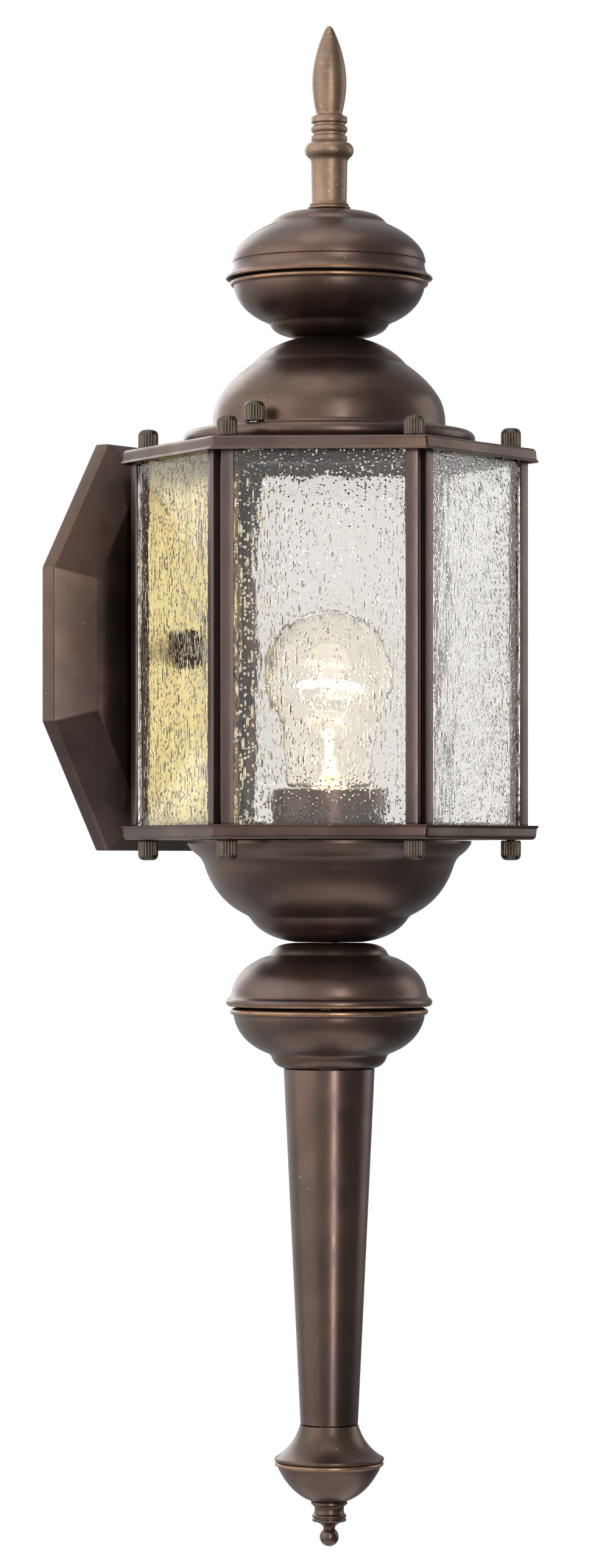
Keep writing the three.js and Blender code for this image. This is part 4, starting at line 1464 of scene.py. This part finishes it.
def build_floor():
    """A pale disc that glows faintly towards its rim, to fade into the background."""
    level = LOW.z - bpy.context.scene.lantern_studio.floor_gap
    material, tree, shader = new_material("floor", Roughness=0.7)
    tone = mapped(tree, noise_value(tree, 3, 2), 0.3, 0.7, 0.0, 0.2)
    surface(tree, shader, mixed(tree, tone, colours().floor, (0.83, 0.83, 0.83)))
    apart = vector_node(tree, "DISTANCE", object_coordinates(tree), (*AXIS, level))
    wire(tree, mapped(tree, apart.outputs["Value"], *FLOOR_FADE, 0.0, 0.35),
         shader.inputs["Emission Strength"])
    shader.inputs["Emission Color"].default_value = (1, 1, 1, 1)
    turns = [2 * math.pi * i / FLOOR_SIDES for i in range(FLOOR_SIDES)]
    disc = [(AXIS.x + FLOOR_RADIUS * math.sin(turn),
             AXIS.y - FLOOR_RADIUS * math.cos(turn), level) for turn in turns]
    new_object("floor", disc, [tuple(range(FLOOR_SIDES))], material)


def build_lamp():
    """The light inside the bulb, which the eye doesn't see."""
    data = bpy.data.lights.new("lamp", "POINT")
    data.energy = bpy.context.scene.lantern_studio.lamp
    data.color = colours().glow
    data.shadow_soft_size = LAMP_SIZE
    lamp = linked("lamp", data)
    lamp.location = box_centre("bulb_glass") + UP * LAMP_RISE
    lamp.visible_camera = False
    lamp.visible_transmission = False


def build_stage():
    studio = bpy.context.scene.lantern_studio
    build_floor()
    build_world()
    softbox("strip", -44, 4, 2.4, 0.14, 2.4, studio.key)
    softbox("side", -124, 10, 2.4, 3.0, 2.6, studio.fill)
    softbox("front", -64, 2, 2.6, 1.8, 0.7, studio.fill * 0.07)
    softbox("right", 60, 10, 2.6, 1.5, 2.0, studio.fill * 0.5)
    softbox("top", -60, 76, 2.0, 1.4, 1.4, studio.fill * 0.3)
    softbox("behind", 150, 20, 2.4, 1.2, 1.8, studio.fill * 0.5)
    build_lamp()
    bpy.context.scene.view_settings.view_transform = "Standard"
    build_camera()


# ---- Operators ------------------------------------------------------------------------
class LANTERN_OT_wall_plate(bpy.types.Operator):
    """Folds the octagonal wall plate."""

    bl_idname = "lantern.wall_plate"
    bl_label = "Wall Plate"

    def execute(self, context):
        build_wall_plate()
        return {"FINISHED"}


class LANTERN_OT_caps(bpy.types.Operator):
    """Presses the two hexagonal caps of the cage."""

    bl_idname = "lantern.caps"
    bl_label = "Cage Caps"

    def execute(self, context):
        build_caps()
        return {"FINISHED"}


class LANTERN_OT_posts(bpy.types.Operator):
    """Folds the six grooved corner posts."""

    bl_idname = "lantern.posts"
    bl_label = "Corner Posts"

    def execute(self, context):
        build_posts()
        return {"FINISHED"}


class LANTERN_OT_panes(bpy.types.Operator):
    """Makes the five panes of seeded glass."""

    bl_idname = "lantern.panes"
    bl_label = "Glass Panes"

    def execute(self, context):
        build_panes()
        return {"FINISHED"}


class LANTERN_OT_seeds(bpy.types.Operator):
    """Scatters the bubbles inside each pane."""

    bl_idname = "lantern.seeds"
    bl_label = "Glass Seeds"

    def execute(self, context):
        build_seeds()
        return {"FINISHED"}


class LANTERN_OT_rear_panel(bpy.types.Operator):
    """Makes the solid rear face of the cage."""

    bl_idname = "lantern.rear_panel"
    bl_label = "Rear Panel"

    def execute(self, context):
        build_rear_panel()
        return {"FINISHED"}


class LANTERN_OT_cage_nuts(bpy.types.Operator):
    """Makes the twelve fluted nuts of the cage."""

    bl_idname = "lantern.cage_nuts"
    bl_label = "Cage Nuts"

    def execute(self, context):
        build_cage_nuts()
        return {"FINISHED"}


class LANTERN_OT_roof_nuts(bpy.types.Operator):
    """Makes the two fluted nuts that hold the roof down."""

    bl_idname = "lantern.roof_nuts"
    bl_label = "Roof Nuts"

    def execute(self, context):
        build_roof_nuts()
        return {"FINISHED"}


class LANTERN_OT_roof_dome(bpy.types.Operator):
    """Spins the roof dome and its rolled flange."""

    bl_idname = "lantern.roof_dome"
    bl_label = "Roof Dome"

    def execute(self, context):
        build_roof_dome()
        return {"FINISHED"}


class LANTERN_OT_upper_knop(bpy.types.Operator):
    """Spins both halves of the roof's knop."""

    bl_idname = "lantern.upper_knop"
    bl_label = "Upper Knop"

    def execute(self, context):
        build_upper_knop()
        return {"FINISHED"}


class LANTERN_OT_finial(bpy.types.Operator):
    """Turns the spear finial."""

    bl_idname = "lantern.finial"
    bl_label = "Finial"

    def execute(self, context):
        build_finial()
        return {"FINISHED"}


class LANTERN_OT_bowl(bpy.types.Operator):
    """Spins the bowl under the cage."""

    bl_idname = "lantern.bowl"
    bl_label = "Bowl"

    def execute(self, context):
        build_bowl()
        return {"FINISHED"}


class LANTERN_OT_lower_knop(bpy.types.Operator):
    """Spins both halves of the tail's knop."""

    bl_idname = "lantern.lower_knop"
    bl_label = "Lower Knop"

    def execute(self, context):
        build_lower_knop()
        return {"FINISHED"}


class LANTERN_OT_tail(bpy.types.Operator):
    """Makes the tapered tail tube and its cup."""

    bl_idname = "lantern.tail"
    bl_label = "Tail"

    def execute(self, context):
        build_tail()
        return {"FINISHED"}


class LANTERN_OT_drop_finial(bpy.types.Operator):
    """Turns the small finial at the tail's end."""

    bl_idname = "lantern.drop_finial"
    bl_label = "Drop Finial"

    def execute(self, context):
        build_drop_finial()
        return {"FINISHED"}


class LANTERN_OT_socket_cup(bpy.types.Operator):
    """Spins the cup round the lamp socket."""

    bl_idname = "lantern.socket_cup"
    bl_label = "Socket Cup"

    def execute(self, context):
        build_socket_cup()
        return {"FINISHED"}


class LANTERN_OT_bulb(bpy.types.Operator):
    """Makes the bulb, its screw base, stem and filament."""

    bl_idname = "lantern.bulb"
    bl_label = "Bulb"

    def execute(self, context):
        build_bulb()
        return {"FINISHED"}


class LANTERN_OT_hardware(bpy.types.Operator):
    """Finishes the rods, strap, nipple, screws and socket."""

    bl_idname = "lantern.hardware"
    bl_label = "Hardware Finishes"

    def execute(self, context):
        paint_nodes()
        return {"FINISHED"}


class LANTERN_OT_stage(bpy.types.Operator):
    """Lays the floor and sets up the light and the camera."""

    bl_idname = "lantern.stage"
    bl_label = "Studio"

    def execute(self, context):
        build_stage()
        return {"FINISHED"}


OPERATORS = (
    LANTERN_OT_wall_plate,
    LANTERN_OT_caps,
    LANTERN_OT_posts,
    LANTERN_OT_panes,
    LANTERN_OT_seeds,
    LANTERN_OT_rear_panel,
    LANTERN_OT_cage_nuts,
    LANTERN_OT_roof_nuts,
    LANTERN_OT_roof_dome,
    LANTERN_OT_upper_knop,
    LANTERN_OT_finial,
    LANTERN_OT_bowl,
    LANTERN_OT_lower_knop,
    LANTERN_OT_tail,
    LANTERN_OT_drop_finial,
    LANTERN_OT_socket_cup,
    LANTERN_OT_bulb,
    LANTERN_OT_hardware,
    LANTERN_OT_stage,
)
SETTINGS = {
    "lantern_sizes": LanternSizes,
    "lantern_colours": LanternColours,
    "lantern_studio": StudioSettings,
}


class LANTERN_PT_panel(bpy.types.Panel):
    """Lists the lantern's pieces and their settings."""

    bl_idname = "LANTERN_PT_panel"
    bl_label = "Wall Lantern"
    bl_space_type = "VIEW_3D"
    bl_region_type = "UI"
    bl_category = "Lantern"

    def draw(self, context):
        layout = self.layout
        for operator in OPERATORS:
            layout.operator(operator.bl_idname)
        for key, settings in SETTINGS.items():
            box = layout.box()
            box.label(text=key.removeprefix("lantern_").title())
            for name in settings.__annotations__:
                box.prop(getattr(context.scene, key), name)


CLASSES = (*SETTINGS.values(), *OPERATORS, LANTERN_PT_panel)


def register():
    for cls in CLASSES:
        bpy.utils.register_class(cls)
    for key, settings in SETTINGS.items():
        setattr(bpy.types.Scene, key, bpy.props.PointerProperty(type=settings))


def unregister():
    for key in SETTINGS:
        delattr(bpy.types.Scene, key)
    for cls in reversed(CLASSES):
        bpy.utils.unregister_class(cls)


def main():
    register()
    for operator in OPERATORS:
        getattr(bpy.ops.lantern, operator.bl_idname.split(".")[1])()


if __name__ == "__main__":
    main()
